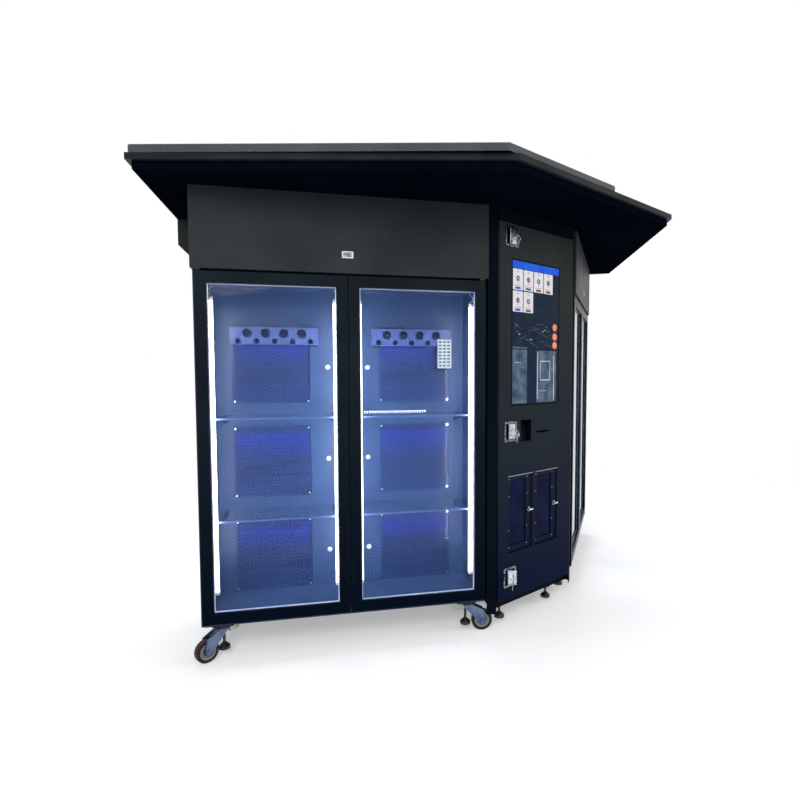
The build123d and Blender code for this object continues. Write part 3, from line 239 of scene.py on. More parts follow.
def make_low_reflection_share():
    """1 low on the machine and 0 high up: the share of a painted bluish, darker reflection mixed into paint
    near the floor.
    """
    tree, taken, given = group_tree("lowness", {"High": 1.5, "Low": 0.2}, {"Mask": "Float"})
    height = height_of(tree, object_place(tree))
    feed(tree, given, {"Mask": map_range(tree, height, taken.outputs["High"], taken.outputs["Low"])})
    return tree


mottle, grain, brushing = make_mottle(), make_grain(), make_brushing()
edge_wear, settled_dust, lowness = make_edge_wear_and_highlight(), make_dust(), make_low_reflection_share()
no_stretch = (1.0, 1.0, 1.0)
pale_dust, brown_dust = (0.35, 0.34, 0.32, 1), (0.3, 0.28, 0.25, 1)


def new_material(name):
    material = bpy.data.materials.new(name)
    material.use_nodes = True
    tree = material.node_tree
    return material, tree, tree.nodes["Principled BSDF"]


def call(tree, group, **values):
    """Places a shared effect with its own values."""
    made = tree.nodes.new("ShaderNodeGroup")
    made.node_tree = group
    feed(tree, made, {key.replace("_", " "): value for key, value in values.items()})
    return made


def rgb(red, green, blue):
    """A linear colour from the 0 to 255 numbers of a screen colour."""
    def linear(v):
        v /= 255
        return v / 12.92 if v <= 0.04045 else ((v + 0.055) / 1.055) ** 2.4
    return (linear(red), linear(green), linear(blue), 1)


def weathered_and_highlighted(tree, painted, wear, dust):
    """A colour with worn edges, which on the canopy are also a painted highlight (amount, colour, width in
    mm), and settled dust (amount, colour).
    """
    if wear:
        mask = call(tree, edge_wear, Width=wear[2] / 1000, Amount=wear[0]).outputs[0]
        painted = mix_colour(tree, mask, painted, wear[1])
    if dust:
        mask = call(tree, settled_dust, Amount=dust[0]).outputs[0]
        painted = mix_colour(tree, mask, painted, dust[1])
    return painted


def bumped(tree, height, microns, strength):
    """A normal that follows a height, with its depth in micrometres."""
    inputs = {"Height": height, "Distance": microns * 1e-6, "Strength": strength}
    return place(tree, "ShaderNodeBump", inputs).outputs[0]


def coated(name, colour, second, roughness, spread, cloud_scale, specular, grain_scale, grain_depth,
           wear=None, dust=None, low_reflection_colour=None):
    """A painted or moulded surface: clouds of colour, fine grain, worn edges (on the canopy also a painted
    highlight) and dust.
    """
    material, tree, shader = new_material(name)
    clouds = call(tree, mottle, Colour=colour, Second_Colour=second, Scale=cloud_scale,
                  Roughness=roughness, Spread=spread)
    painted = clouds.outputs["Colour"]
    # Painted reflection: the colour turns bluer and darker towards the floor
    if low_reflection_colour:
        painted = mix_colour(tree, call(tree, lowness).outputs[0], painted, low_reflection_colour)
    peel = call(tree, grain, Scale=grain_scale).outputs["Height"]
    feed(tree, shader, {
        "Base Color": weathered_and_highlighted(tree, painted, wear, dust), "Roughness": clouds.outputs["Roughness"],
        "Normal": bumped(tree, peel, grain_depth, 0.6), "Specular IOR Level": specular})
    return material


def metal(name, colour, second, roughness, spread, scale, depth=50, wear=None, dust=None, cloud_scale=25):
    """Bare or plated metal."""
    material, tree, shader = new_material(name)
    clouds = call(tree, mottle, Colour=colour, Second_Colour=second, Scale=cloud_scale)
    marks = call(tree, brushing, Stretch=no_stretch, Scale=scale, Roughness=roughness, Spread=spread)
    feed(tree, shader, {
        "Base Color": weathered_and_highlighted(tree, clouds.outputs["Colour"], wear, dust),
        "Roughness": marks.outputs["Roughness"],
        "Normal": bumped(tree, marks.outputs["Height"], depth, 0.5), "Metallic": 1.0})
    return material


def clear(name, tint, roughness, spread, shade, ior):
    """Glass or clear plastic. Lamps shine through it, so that what is behind it stays lit."""
    material, tree, shader = new_material(name)
    second = tuple(0.97 * c for c in tint[:3]) + (1,)
    smears = call(tree, mottle, Colour=tint, Second_Colour=second, Scale=4.0, Roughness=roughness,
                  Spread=spread)
    shadow = place(tree, "ShaderNodeLightPath").outputs["Is Shadow Ray"]
    feed(tree, shader, {
        "Base Color": smears.outputs["Colour"], "Roughness": smears.outputs["Roughness"],
        "Transmission Weight": 1.0, "IOR": ior,
        "Alpha": math_node(tree, "SUBTRACT", 1.0, math_node(tree, "MULTIPLY", shadow, 1.0 - shade))})
    return material


def glowing(name, colour, second, strength, cloud_scale=12.0, base=(0.5, 0.5, 0.5, 1)):
    """A surface that is lit from behind."""
    material, tree, shader = new_material(name)
    clouds = call(tree, mottle, Colour=colour, Second_Colour=second, Scale=cloud_scale, Roughness=0.4,
                  Spread=0.1)
    feed(tree, shader, {
        "Emission Color": clouds.outputs["Colour"], "Roughness": clouds.outputs["Roughness"],
        "Emission Strength": strength, "Base Color": base})
    return material


# Painted and moulded finishes: colour and second colour, roughness and its spread, cloud scale,
# specular level, grain scale and depth in micrometres
satin_black = coated("satin_black_paint", rgb(42, 46, 47), rgb(33, 37, 39), 0.5, 0.1, 3, 0.16, 1400, 80,
    wear=(0.25, rgb(84, 88, 94), 1.5), dust=(0.08, rgb(90, 90, 92)))
# Canopy rim: its bright edge colour is mostly a painted highlight along the rim's lower edge, partly real
# wear
rim_black = coated("canopy_rim_black", rgb(66, 68, 70), rgb(58, 60, 63), 0.4, 0.12, 6, 0.3, 1000, 120,
    wear=(0.6, rgb(136, 138, 142), 3), dust=(0.1, rgb(96, 96, 98)))
# Canopy trays: the edge colour is partly real wear and partly a painted highlight along the edges
tray_black = coated("canopy_tray_black", rgb(32, 35, 39), rgb(24, 27, 31), 0.45, 0.1, 6, 0.1, 1000, 120,
    wear=(0.3, rgb(96, 98, 102), 2), dust=(0.1, rgb(70, 70, 72)))
# Column paint with a painted reflection low down, bluer and darker towards the floor
column_black = coated("column_black_paint", rgb(40, 46, 45), rgb(30, 37, 38), 0.42, 0.08, 1.5, 0.03, 1400, 60,
    wear=(0.2, rgb(56, 62, 74), 1.5), low_reflection_colour=rgb(3, 13, 40))
# Posts painted darker and bluer than the column: painted shade for the recess beside the service door
post_shaded_black = coated("post_black_paint", rgb(6, 14, 22), rgb(3, 9, 19), 0.42, 0.08, 1.5, 0.02, 1400, 60,
    wear=(0.2, rgb(46, 54, 66), 1.5))
soffit_black = coated("soffit_black_paint", rgb(5, 10, 19), rgb(3, 7, 15), 0.5, 0.05, 2, 0.0, 300, 30)
# Door frame paint with a painted reflection low down, bluer and darker towards the floor
door_black = coated("door_frame_black", rgb(26, 33, 38), rgb(19, 26, 31), 0.3, 0.06, 4, 0.02, 600, 30,
    wear=(0.25, rgb(84, 88, 94), 1.5), low_reflection_colour=rgb(2, 10, 24))
gasket_black = coated("door_gasket_rubber", rgb(14, 14, 17), rgb(22, 22, 25), 0.6, 0.1, 30, 0.2, 2500, 120)
# Liner and duct covers are pale in themselves: their blue and their darkness are painted light from the
# blue-lit interior
liner_lit_blue = coated("liner_blue_enamel", rgb(44, 66, 104), rgb(38, 59, 98), 0.35, 0.1, 3, 0.2, 500, 60)
duct_lit_blue = coated("duct_blue_enamel", rgb(60, 78, 128), rgb(52, 68, 120), 0.3, 0.1, 8, 0.3, 500, 50,
    wear=(0.2, rgb(150, 160, 196), 1.5))
arm_blue = coated("shelf_arm_blue", rgb(52, 70, 112), rgb(44, 60, 98), 0.4, 0.1, 40, 0.2, 1200, 80,
    wear=(0.3, rgb(90, 98, 120), 1.5))
dark_race = coated("caster_race_black", rgb(16, 18, 24), rgb(26, 28, 34), 0.4, 0.1, 40, 0.3, 1200, 80,
    wear=(0.4, rgb(96, 98, 104), 1.5))
tyre_red = coated("tyre_maroon_rubber", rgb(46, 14, 20), rgb(32, 10, 16), 0.45, 0.15, 30, 0.25, 900, 200,
    wear=(0.3, rgb(110, 74, 76), 3), dust=(0.07, pale_dust))
tyre_black = coated("tyre_black_rubber", rgb(26, 18, 22), rgb(18, 14, 18), 0.45, 0.15, 30, 0.25, 900, 200,
    wear=(0.3, rgb(84, 74, 76), 3), dust=(0.2, pale_dust))
hub_grey = coated("hub_grey_nylon", rgb(112, 112, 114), rgb(88, 88, 90), 0.4, 0.15, 40, 0.3, 900, 120,
    wear=(0.3, rgb(160, 160, 158), 1.5), dust=(0.2, pale_dust))
dark_plastic = coated("moulded_dark_plastic", rgb(4, 5, 9), rgb(7, 8, 13), 0.45, 0.1, 30, 0.12, 1600, 100)
white_plastic = coated("moulded_white_plastic", rgb(222, 224, 230), rgb(208, 210, 218), 0.32, 0.08, 30, 0.45,
    1500, 60)
grille_grey = coated("grille_grey_plastic", rgb(150, 158, 156), rgb(132, 142, 142), 0.35, 0.08, 30, 0.3, 1500,
    60)
screen_glass = coated("screen_glass_black", rgb(9, 14, 22), rgb(6, 10, 18), 0.08, 0.04, 6, 0.05, 300, 10)
glass_edge = coated("polished_glass_edge", rgb(78, 100, 146), rgb(64, 86, 132), 0.15, 0.05, 12, 0.4, 400, 20)
smoked_window = coated("smoked_acrylic", rgb(12, 16, 42), rgb(20, 24, 58), 0.1, 0.04, 9, 0.02, 300, 10)
spacer_metal = coated("spacer_pale_aluminium", rgb(196, 204, 226), rgb(170, 180, 212), 0.35, 0.1, 20, 0.5,
    800, 40)
ink_black = coated("display_ink", rgb(16, 18, 22), rgb(24, 26, 30), 0.3, 0.1, 60, 0.4, 2000, 20)
panel_grey = coated("display_panel", rgb(168, 176, 182), rgb(150, 160, 168), 0.22, 0.06, 30, 0.5, 2000, 10)

# Metals: colour and second colour, roughness and its spread, scale and depth of fine marks (micrometres)
zinc_plate = metal("blue_zinc_plating", rgb(112, 126, 156), rgb(84, 98, 132), 0.42, 0.2, 90, 40,
    wear=(0.4, rgb(60, 62, 66), 1), dust=(0.15, brown_dust))
dull_steel = metal("dull_steel", rgb(84, 82, 76), rgb(62, 60, 56), 0.45, 0.2, 120, 60,
    wear=(0.4, rgb(40, 38, 36), 1), dust=(0.2, brown_dust))
block_grey = metal("adjuster_block_alloy", rgb(176, 178, 168), rgb(120, 124, 112), 0.4, 0.2, 300, 300,
    wear=(0.4, rgb(44, 46, 42), 1))
chrome = metal("lock_chrome", rgb(226, 230, 236), rgb(150, 158, 172), 0.15, 0.1, 60, 30,
    wear=(0.3, rgb(80, 82, 86), 1), cloud_scale=70.0)
dish_chrome = metal("lock_dish_chrome", rgb(156, 162, 170), rgb(26, 32, 42), 0.2, 0.1, 60, 30,
    cloud_scale=110.0)
# Darker chrome for the faces sunk into the lock dishes: painted shade in the recess
dark_chrome = metal("dark_chrome", rgb(52, 56, 66), rgb(28, 32, 42), 0.25, 0.1, 60, 30)
# Bright metal: the real finish of the caster plate bolts, and a painted highlight on the strips over the
# hatches
bright_metal_and_highlight = metal("bright_folded_edge", rgb(190, 196, 206), rgb(150, 158, 172), 0.3, 0.1, 200)

# Clear finishes: tint, roughness and its spread, share of lamp light held back, index of refraction
door_glass = clear("door_glass", rgb(246, 249, 252), 0.004, 0.008, 0.45, 1.14)
shelf_glass = clear("shelf_glass", rgb(234, 241, 249), 0.01, 0.02, 0.12, 1.1)
cover_clear = clear("cover_clear_acrylic", rgb(232, 238, 252), 0.05, 0.05, 0.1, 1.2)

# Lit finishes: colour and second colour, strength
tube_glow = glowing("lit_tube", (1.0, 1.0, 1.0, 1), (0.96, 0.98, 1.0, 1), 34.0)
dot_glow = glowing("light_dot_glow", (1.0, 1.0, 1.0, 1), (0.9, 0.95, 1.0, 1), 9.0)


def by_name(text):
    return [name for name in sorted(nodes) if text in name]


def paint(name, *materials):
    """Gives a CAD node its finishes."""
    mesh = nodes[name].data
    mesh.materials.clear()
    for material in materials:
        mesh.materials.append(material)


def paint_faces(name, rule, *materials):
    """Gives each face of a CAD node the finish that the rule picks from its middle and normal."""
    paint(name, *materials)
    for face in nodes[name].data.polygons:
        face.material_index = rule(face.center, face.normal)


def out_of(side, point):
    """How far a point lies out from a wing's face."""
    reach = Vector((point.x - side * half_centre, point.y - facet_y))
    return reach.x * side * math.sin(wing_turn) - reach.y * math.cos(wing_turn)


def along_of(side, point):
    """How far a point lies along a wing's face."""
    reach = Vector((point.x - side * half_centre, point.y - facet_y))
    return reach.x * side * math.cos(wing_turn) + reach.y * math.sin(wing_turn)


for material, names in (
        (satin_black, ("rear_gussets", "headers", "left_casing", "right_casing")),
        (column_black, ("centre_casing", "service_door", "left_hatch", "right_hatch")),
        (post_shaded_black, ("centre_frame",)), (tray_black, ("canopy_trays",)), (rim_black, ("canopy_cap",)),
        (soffit_black, ("soffits",)), (door_glass, by_name("door_glass")),
        (liner_lit_blue, ("left_liner", "right_liner", "mullions")), (duct_lit_blue, ("duct_covers",)),
        (arm_blue, ("shelf_arms",)), (dark_plastic, ("control_box", "card_reader", "pickup_bins")),
        (screen_glass, ("touch_screen",)), (dull_steel, ("door_hinges", "centre_feet")),
        (dull_steel, by_name("caster_foot")), (white_plastic, ("thermometers",)),
        (chrome, by_name("lock_paddle") + by_name("hatch_knob")), (smoked_window, by_name("hatch_window"))):
    for name in names:
        paint(name, material)
for name in by_name("door_frame"):
    side = left if name.startswith("left") else right
    paint_faces(name, lambda c, n: int(out_of(side, c) < gasket_out), door_black, gasket_black)
paint_faces("shelves", lambda c, n: int(abs(n.z) < 0.5), shelf_glass, glass_edge)
paint_faces("caster_mounts", lambda c, n: int(out_of(left if c.x < 0 else right, c) < behind_turntables),
            dark_race, zinc_plate)
# Faces sunk deeper than dish_depth into a lock base get the painted shade of the recess
paint_faces("lock_bases", lambda c, n: int(c.y > facet_y + dish_depth), dish_chrome, dark_chrome)


def fork_finish(place):
    """Rule for a caster fork: plated cheeks, dark race on top, bare adjuster block behind the swivel."""
    swivel = sum(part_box(place + "caster_foot"), Vector()) / 2
    wheel = sum(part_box(place + "caster_wheel"), Vector()) / 2
    way = Vector((wheel.x - swivel.x, wheel.y - swivel.y, 0)).normalized()

    def rule(centre, normal):
        behind = way.dot(centre - swivel) < block_start
        return 2 if behind else int(centre.z > race_top)
    return rule


for name in by_name("caster_fork"):
    paint_faces(name, fork_finish(name.removesuffix("caster_fork")), zinc_plate, dark_race, block_grey)
for name in by_name("wheel"):
    hub = sum(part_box(name), Vector()) / 2
    tyre = tyre_black if "inner_caster" in name else tyre_red
    paint_faces(name, lambda c, n: int((c - hub).length < hub_radius), tyre, hub_grey)
paint_faces("light_tubes", lambda c, n: int(not tube_low < c.z < tube_high), tube_glow, white_plastic)


def window_finish(centre, normal):
    """Cover or corner screw of a back window."""
    side = left if centre.x < 0 else right
    at_corner = any(abs(abs(along_of(side, centre) - middle) - screw_across) < screw_reach
                    and abs(abs(centre.z - z) - screw_up) < screw_reach
                    for middle in window_middles for z in tier_centres)
    return int(at_corner and out_of(side, centre) > window_out + 0.0002)


paint_faces("back_windows", window_finish, cover_clear, chrome)


# Round shading for CAD nodes that have round faces
def make_round_shading():
    tree, taken, given = group_tree(
        "round_shading", {"Geometry": "Geometry", "Crease Angle": 0.6}, {"Geometry": "Geometry"},
        "GeometryNodeTree")
    merged = place(tree, "GeometryNodeMergeByDistance", {"Geometry": taken.outputs[0], "Distance": 0.00002})
    faces = place(tree, "GeometryNodeSetShadeSmooth",
                  {"Geometry": merged.outputs[0], "Shade Smooth": True}, domain="FACE")
    angle = place(tree, "GeometryNodeInputMeshEdgeAngle").outputs["Unsigned Angle"]
    crease = taken.outputs["Crease Angle"]
    sharp = place(tree, "FunctionNodeCompare", {0: angle, 1: crease}, operation="GREATER_THAN").outputs[0]
    edges = place(tree, "GeometryNodeSetShadeSmooth",
                  {"Geometry": faces.outputs[0], "Selection": sharp, "Shade Smooth": False}, domain="EDGE")
    feed(tree, given, {0: edges.outputs[0]})
    return tree


round_shading = make_round_shading()
round_nodes = ["light_tubes", "lock_bases", "centre_feet", "caster_mounts", "door_hinges", "thermometers",
               "canopy_cap", "back_windows"]
for text in ("wheel", "caster_foot", "caster_fork", "hatch_knob", "lock_paddle"):
    round_nodes += by_name(text)
for name in round_nodes:
    nodes[name].modifiers.new("round_shading", "NODES").node_group = round_shading


# Making pieces
def new_piece(name, bm, body, *materials, slot, smooth=False):
    """Turns a bmesh into a piece that rides on a body."""
    bmesh.ops.remove_doubles(bm, verts=bm.verts, dist=0.000005)
    bmesh.ops.recalc_face_normals(bm, faces=bm.faces)
    mesh = mesh_of(name, bm)
    for face in mesh.polygons:
        face.use_smooth = smooth
    for material in materials:
        mesh.materials.append(material)
    piece = link_object(name, mesh)
    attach(piece, body)


def add_slab(bm, corners, lift, material_index=0, bevel=0.0):
    """A flat slab: its corner points in order, and the vector of its thickness."""
    low = [bm.verts.new(c) for c in corners]
    high = [bm.verts.new(c + lift) for c in corners]
    faces = [bm.faces.new(low[::-1]), bm.faces.new(high)]
    for i in range(len(corners)):
        j = (i + 1) % len(corners)
        faces.append(bm.faces.new((low[i], low[j], high[j], high[i])))
    for face in faces:
        face.material_index = material_index
    if bevel:
        edges = list(faces[1].edges)
        made = bmesh.ops.bevel(bm, geom=edges, offset=bevel, segments=2, profile=0.5, affect="EDGES")
        for face in made["faces"]:
            face.material_index = material_index


def wing_corners(side, s0, s1, z0, z1, out):
    return [wing_point(side, s, out, z) for s, z in ((s0, z0), (s1, z0), (s1, z1), (s0, z1))]


def wing_lift(side, distance):
    """A vector out from a wing's face."""
    return wing_point(side, 0, distance, 0) - wing_point(side, 0, 0, 0)


def rounded_corners(x0, x1, z0, z1, radius, steps=5):
    """Corner points of a rounded rectangle, as (across, up) pairs."""
    points = []
    for cx, cz, start in ((x1 - radius, z0 + radius, -90), (x1 - radius, z1 - radius, 0),
                          (x0 + radius, z1 - radius, 90), (x0 + radius, z0 + radius, 180)):
        for i in range(steps + 1):
            a = math.radians(start + 90 * i / steps)
            points.append((cx + radius * math.cos(a), cz + radius * math.sin(a)))
    return points


def ring(bm, centre, across, up, radius, segments):
    """A ring of vertices about a centre."""
    turns = [2 * math.pi * i / segments for i in range(segments)]
    return [bm.verts.new(centre + radius * (across * math.cos(a) + up * math.sin(a))) for a in turns]


def add_lathe(bm, base, axis, profile, segments, material_index=0):
    """A turned shape: (radius, height) pairs spun about an axis from a base point."""
    axis = axis.normalized()
    across = axis.orthogonal().normalized()
    up = axis.cross(across)
    rings = []
    for radius, height in profile:
        middle = base + axis * height
        rings.append(ring(bm, middle, across, up, radius, segments) if radius else [bm.verts.new(middle)])
    for a, b in zip(rings, rings[1:]):
        for i in range(segments):
            j = (i + 1) % segments
            corners = list(dict.fromkeys((a[i % len(a)], a[j % len(a)], b[j % len(b)], b[i % len(b)])))
            if len(corners) > 2:
                bm.faces.new(corners).material_index = material_index


def add_wire(bm, points, radius, segments=10, closed=False):
    """A round wire through points."""
    rings, count, side = [], len(points), None
    for i, p in enumerate(points):
        before = points[(i - 1) % count] if closed or i else p
        after = points[(i + 1) % count] if closed or i < count - 1 else p
        way = (after - before).normalized()
        side = way.orthogonal().normalized() if side is None else (side - way * side.dot(way)).normalized()
        up = way.cross(side)
        rings.append(ring(bm, p, side, up, radius, segments))
    for a, b in zip(rings, rings[1:] + rings[:closed]):
        for k in range(segments):
            j = (k + 1) % segments
            bm.faces.new((a[k], a[j], b[j], b[k]))
    if not closed:
        bm.faces.new(rings[0][::-1])
        bm.faces.new(rings[-1])


# What repeats is set out with geometry nodes and then made plain mesh
def make_set_out():
    """Sets a small template out on every point of a mesh, turned to the point's own facing."""
    tree, taken, given = group_tree(
        "set_out", {"Geometry": "Geometry", "Template": "Object", "Size": 1.0}, {"Geometry": "Geometry"},
        "GeometryNodeTree")
    template = place(tree, "GeometryNodeObjectInfo", {"Object": taken.outputs["Template"]})
    facing = place(tree, "GeometryNodeInputNamedAttribute", {"Name": "facing"}, data_type="FLOAT_VECTOR")
    turned = place(tree, "FunctionNodeAlignRotationToVector", {"Vector": facing.outputs[0]}, axis="Z")
    copies = place(tree, "GeometryNodeInstanceOnPoints",
                   {"Points": taken.outputs[0], "Instance": template.outputs["Geometry"],
                    "Rotation": turned.outputs[0], "Scale": taken.outputs["Size"]})
    real = place(tree, "GeometryNodeRealizeInstances", {"Geometry": copies.outputs[0]})
    feed(tree, given, {0: real.outputs[0]})
    return tree


set_out = make_set_out()


def repeat(name, places, template, body, material, size=1.0, smooth=True):
    """Copies a template to each (point, facing) pair as one plain mesh."""
    mesh = bpy.data.meshes.new(name + "_points")
    mesh.from_pydata([p for p, _ in places], [], [])
    facing = mesh.attributes.new("facing", "FLOAT_VECTOR", "POINT")
    facing.data.foreach_set("vector", [v for _, f in places for v in f])
    holder = link_object(name + "_points", mesh)
    modifier = holder.modifiers.new("set_out", "NODES")
    modifier.node_group = set_out
    values = {"Template": template, "Size": size}
    for item in set_out.interface.items_tree:
        if item.name in values:
            modifier[item.identifier] = values[item.name]
    evaluated = holder.evaluated_get(bpy.context.evaluated_depsgraph_get())
    made = bpy.data.meshes.new_from_object(evaluated)
    made.name = name
    made.materials.clear()
    made.materials.append(material)
    for face in made.polygons:
        face.material_index = 0
        face.use_smooth = smooth
    bpy.data.objects.remove(holder)
    piece = link_object(name, made)
    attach(piece, body)


def new_template(name, build):
    """A hidden small shape that repeat() copies. It is removed again at the end."""
    bm = bmesh.new()
    build(bm)
    bmesh.ops.recalc_face_normals(bm, faces=bm.faces)
    return bpy.data.objects.new(name, mesh_of(name, bm))


up_z = Vector((0, 0, 1))
washer_top = 0.0006
screw_profile = [(0, 0.00045), (0.0007, 0.00045), (0.0008, 0.0011), (0.0016, 0.001), (0.0023, 0.0007),
                 (0.0026, 0.0), (0, 0.0)]
washer_profile = [(0, 0.0), (0.0078, 0.0), (0.0078, washer_top), (0, washer_top)]
head_profile = [(0, 0.0), (0.0058, 0.0), (0.0058, 0.0009), (0.005, 0.0013), (0, 0.0013)]
dot_profile = [(0, 0.0), (0.0021, 0.0), (0.002, 0.0008), (0.0012, 0.0014), (0, 0.0016)]
pan_screw = new_template("pan_screw", lambda bm: add_lathe(bm, Vector(), up_z, screw_profile, 12))
hex_bolt = new_template("hex_bolt", lambda bm: (add_lathe(bm, Vector(), up_z, washer_profile, 16),
                                                add_lathe(bm, up_z * washer_top, up_z, head_profile, 6)))
light_dot = new_template("light_dot", lambda bm: add_lathe(bm, Vector(), up_z, dot_profile, 10))


# Pieces of the display bays
half_width, half_height, corner_radius, panel_gap, panel_depth = 0.170, 0.163, 0.006, 0.0004, 0.0006
tier_foot, tier_pitch = 0.193, 0.452
spacer_inset, spacer_low, spacer_high, spacer_out, spacer_depth = 0.048, 0.220, 1.612, -0.0215, 0.005
strip = 0.0045  # a spacer bar's width
cap_alongs, cap_heights = (0.570, 0.763), (0.364, 0.820, 1.269)
cap_profile = [(0, 0.0), (0.012, 0.0), (0.012, 0.006), (0.010, 0.009), (0.006, 0.0105), (0, 0.011)]
grille_start, grille_end, grille_low, grille_high, grille_out = 0.151, 0.222, 1.264, 1.410, -0.296
slat_half, slat_depth, slat_margin, slat_gaps = 0.0042, 0.003, 0.006, 8
bar_half, bar_depth, bar_gaps = 0.003, 0.0035, 3
tube_places = ((0.108, 1), (0.628, -1), (0.732, 1), (1.252, -1))
cable_foot, cable_rise, cable_out, cable_radius, cable_steps = 1.545, 0.0885, -0.075, 0.0012, 24
dot_start, dot_pitch, dot_height, dot_count = 0.280, 0.0127, 1.0485, 25


def make_panel_glow():
    """The lit panel behind a back window: deep blue that is strongest low in each tier."""
    material, tree, shader = new_material("lit_blue_panel")
    where = object_place(tree)
    above = math_node(tree, "SUBTRACT", height_of(tree, where), tier_foot)
    in_tier = math_node(tree, "FRACT", math_node(tree, "DIVIDE", above, tier_pitch))
    ramp = place(tree, "ShaderNodeValToRGB", {0: in_tier})
    ramp.color_ramp.elements[0].color = rgb(34, 54, 96)
    ramp.color_ramp.elements[1].color = rgb(38, 52, 92)
    ramp.color_ramp.elements[1].position = 0.74
    for position, colour in ((0.36, rgb(32, 48, 82)), (0.62, rgb(36, 52, 122))):
        ramp.color_ramp.elements.new(position).color = colour
    streaks = noise(tree, vector_node(tree, "MULTIPLY", where, (1.0, 1.0, 14.0)), 3.0, 5.0)
    share = map_range(tree, streaks, 0.4, 0.75, 0.0, 0.35)
    colour = mix_colour(tree, share, ramp.outputs[0], rgb(58, 76, 120))
    feed(tree, shader, {"Base Color": colour, "Emission Color": colour, "Emission Strength": 0.2,
                        "Roughness": 0.3, "Specular IOR Level": 0.1})
    return material


def cable_point(side, along, way, up):
    """A point on a tube's cable loop, where up runs from 0 at the tube to 1 at the ceiling."""
    sway = 0.011 * math.sin(3.4 * math.pi * up) * (1 - 0.4 * up)
    out = cable_out - 0.006 * math.sin(2.2 * math.pi * up)
    return wing_point(side, along + way * sway, out, cable_foot + cable_rise * up)


panel_glow = make_panel_glow()
for side, label in side_names.items():
    bm = bmesh.new()
    for middle in window_middles:
        for z in tier_centres:
            outline = rounded_corners(middle - half_width, middle + half_width,
                                      z - half_height, z + half_height, corner_radius)
            corners = [wing_point(side, s, back_out + panel_gap, up) for s, up in outline]
            add_slab(bm, corners, wing_lift(side, panel_depth))
    new_piece(label + "_lit_panels", bm, "cabinet", panel_glow, slot="clear_cover")

    # Spacer bars between the panes of each door
    for which, (start, end) in door_spans.items():
        body = label + "_" + which + "_door"
        bm = bmesh.new()
        s0, s1, z0, z1 = start + spacer_inset, end - spacer_inset, spacer_low, spacer_high
        z2, z3 = z0 + strip, z1 - strip
        for bar in ((s0, s1, z0, z2), (s0, s1, z3, z1), (s0, s0 + strip, z2, z3), (s1 - strip, s1, z2, z3)):
            add_slab(bm, wing_corners(side, *bar, spacer_out), wing_lift(side, spacer_depth))
        new_piece(body + "_spacer", bm, body, spacer_metal, slot="brushed")

    # Sensor caps on the back wall
    bm = bmesh.new()
    for along in cap_alongs:
        for z in cap_heights:
            add_lathe(bm, wing_point(side, along, back_out, z), wing_lift(side, 1), cap_profile, 28)
    new_piece(label + "_sensor_caps", bm, "cabinet", white_plastic, slot="white_plastic", smooth=True)

    # Vent grille in the inner bay
    bm = bmesh.new()
    add_slab(bm, wing_corners(side, grille_start, grille_end, grille_low, grille_high, back_out),
             wing_lift(side, grille_out - back_out), 1)
    for i in range(slat_gaps + 1):
        z = grille_low + slat_margin + i * (grille_high - grille_low - 2 * slat_margin) / slat_gaps
        add_slab(bm, wing_corners(side, grille_start, grille_end, z - slat_half, z + slat_half, grille_out),
                 wing_lift(side, slat_depth))
    for i in range(bar_gaps + 1):
        s = grille_start + bar_half + i * (grille_end - grille_start - 2 * bar_half) / bar_gaps
        add_slab(bm, wing_corners(side, s - bar_half, s + bar_half, grille_low, grille_high, grille_out),
                 wing_lift(side, bar_depth))
    new_piece(label + "_vent_grille", bm, "cabinet", grille_grey, liner_lit_blue, slot="white_plastic")

    # Cables from the light tubes up to the ceiling
    bm = bmesh.new()
    for along, way in tube_places:
        path = [cable_point(side, along, way, i / cable_steps) for i in range(cable_steps + 1)]
        add_wire(bm, path, cable_radius)
    new_piece(label + "_tube_cables", bm, "cabinet", white_plastic, slot="white_plastic", smooth=True)

# Row of light dots on the back wall of the left wing's inner bay
dots = [(wing_point(left, dot_start + i * dot_pitch, back_out, dot_height), wing_lift(left, 1))
        for i in range(dot_count)]
repeat("shelf_light_dots", dots, light_dot, "cabinet", dot_glow, size=0.8)

# Thermometer read-outs: seven-segment digits on a pale panel
segments_of = {"4": "fgbc", "6": "afgedc"}
meter_along, meter_out, meter_height = 0.680, 0.0098, 1.748


def add_digit(bm, to_point, lift, x, z, digit):
    """One seven-segment digit from its lower left corner."""
    width, height, bar = 0.0105, 0.016, 0.0027
    half = height / 2
    bars = {"a": (0, height - bar, width, height), "g": (0, half - bar / 2, width, half + bar / 2),
            "d": (0, 0, width, bar), "b": (width - bar, half, width, height),
            "c": (width - bar, 0, width, half), "f": (0, half, bar, height), "e": (0, 0, bar, half)}
    for letter in segments_of[digit]:
        x0, z0, x1, z1 = bars[letter]
        corners = [to_point(x + u, z + v) for u, v in ((x0, z0), (x1, z0), (x1, z1), (x0, z1))]
        add_slab(bm, corners, lift, 1)


def add_meter_face(side, label):
    bm = bmesh.new()
    plate_lift = wing_lift(side, 0.0006)

    def spot(u, v):
        return wing_point(side, meter_along + side * u, meter_out, meter_height + v)

    outline = rounded_corners(-0.0195, 0.0195, -0.0105, 0.0105, 0.002)
    add_slab(bm, [spot(u, v) for u, v in outline], plate_lift)
    for x, digit in ((-0.0125, "4"), (0.001, "6")):
        add_digit(bm, lambda u, v: spot(u, v) + plate_lift, wing_lift(side, 0.0002), x, -0.008, digit)
    new_piece(label + "_thermometer_face", bm, "cabinet", panel_grey, ink_black, slot="white_plastic")


for side, label in side_names.items():
    add_meter_face(side, label)


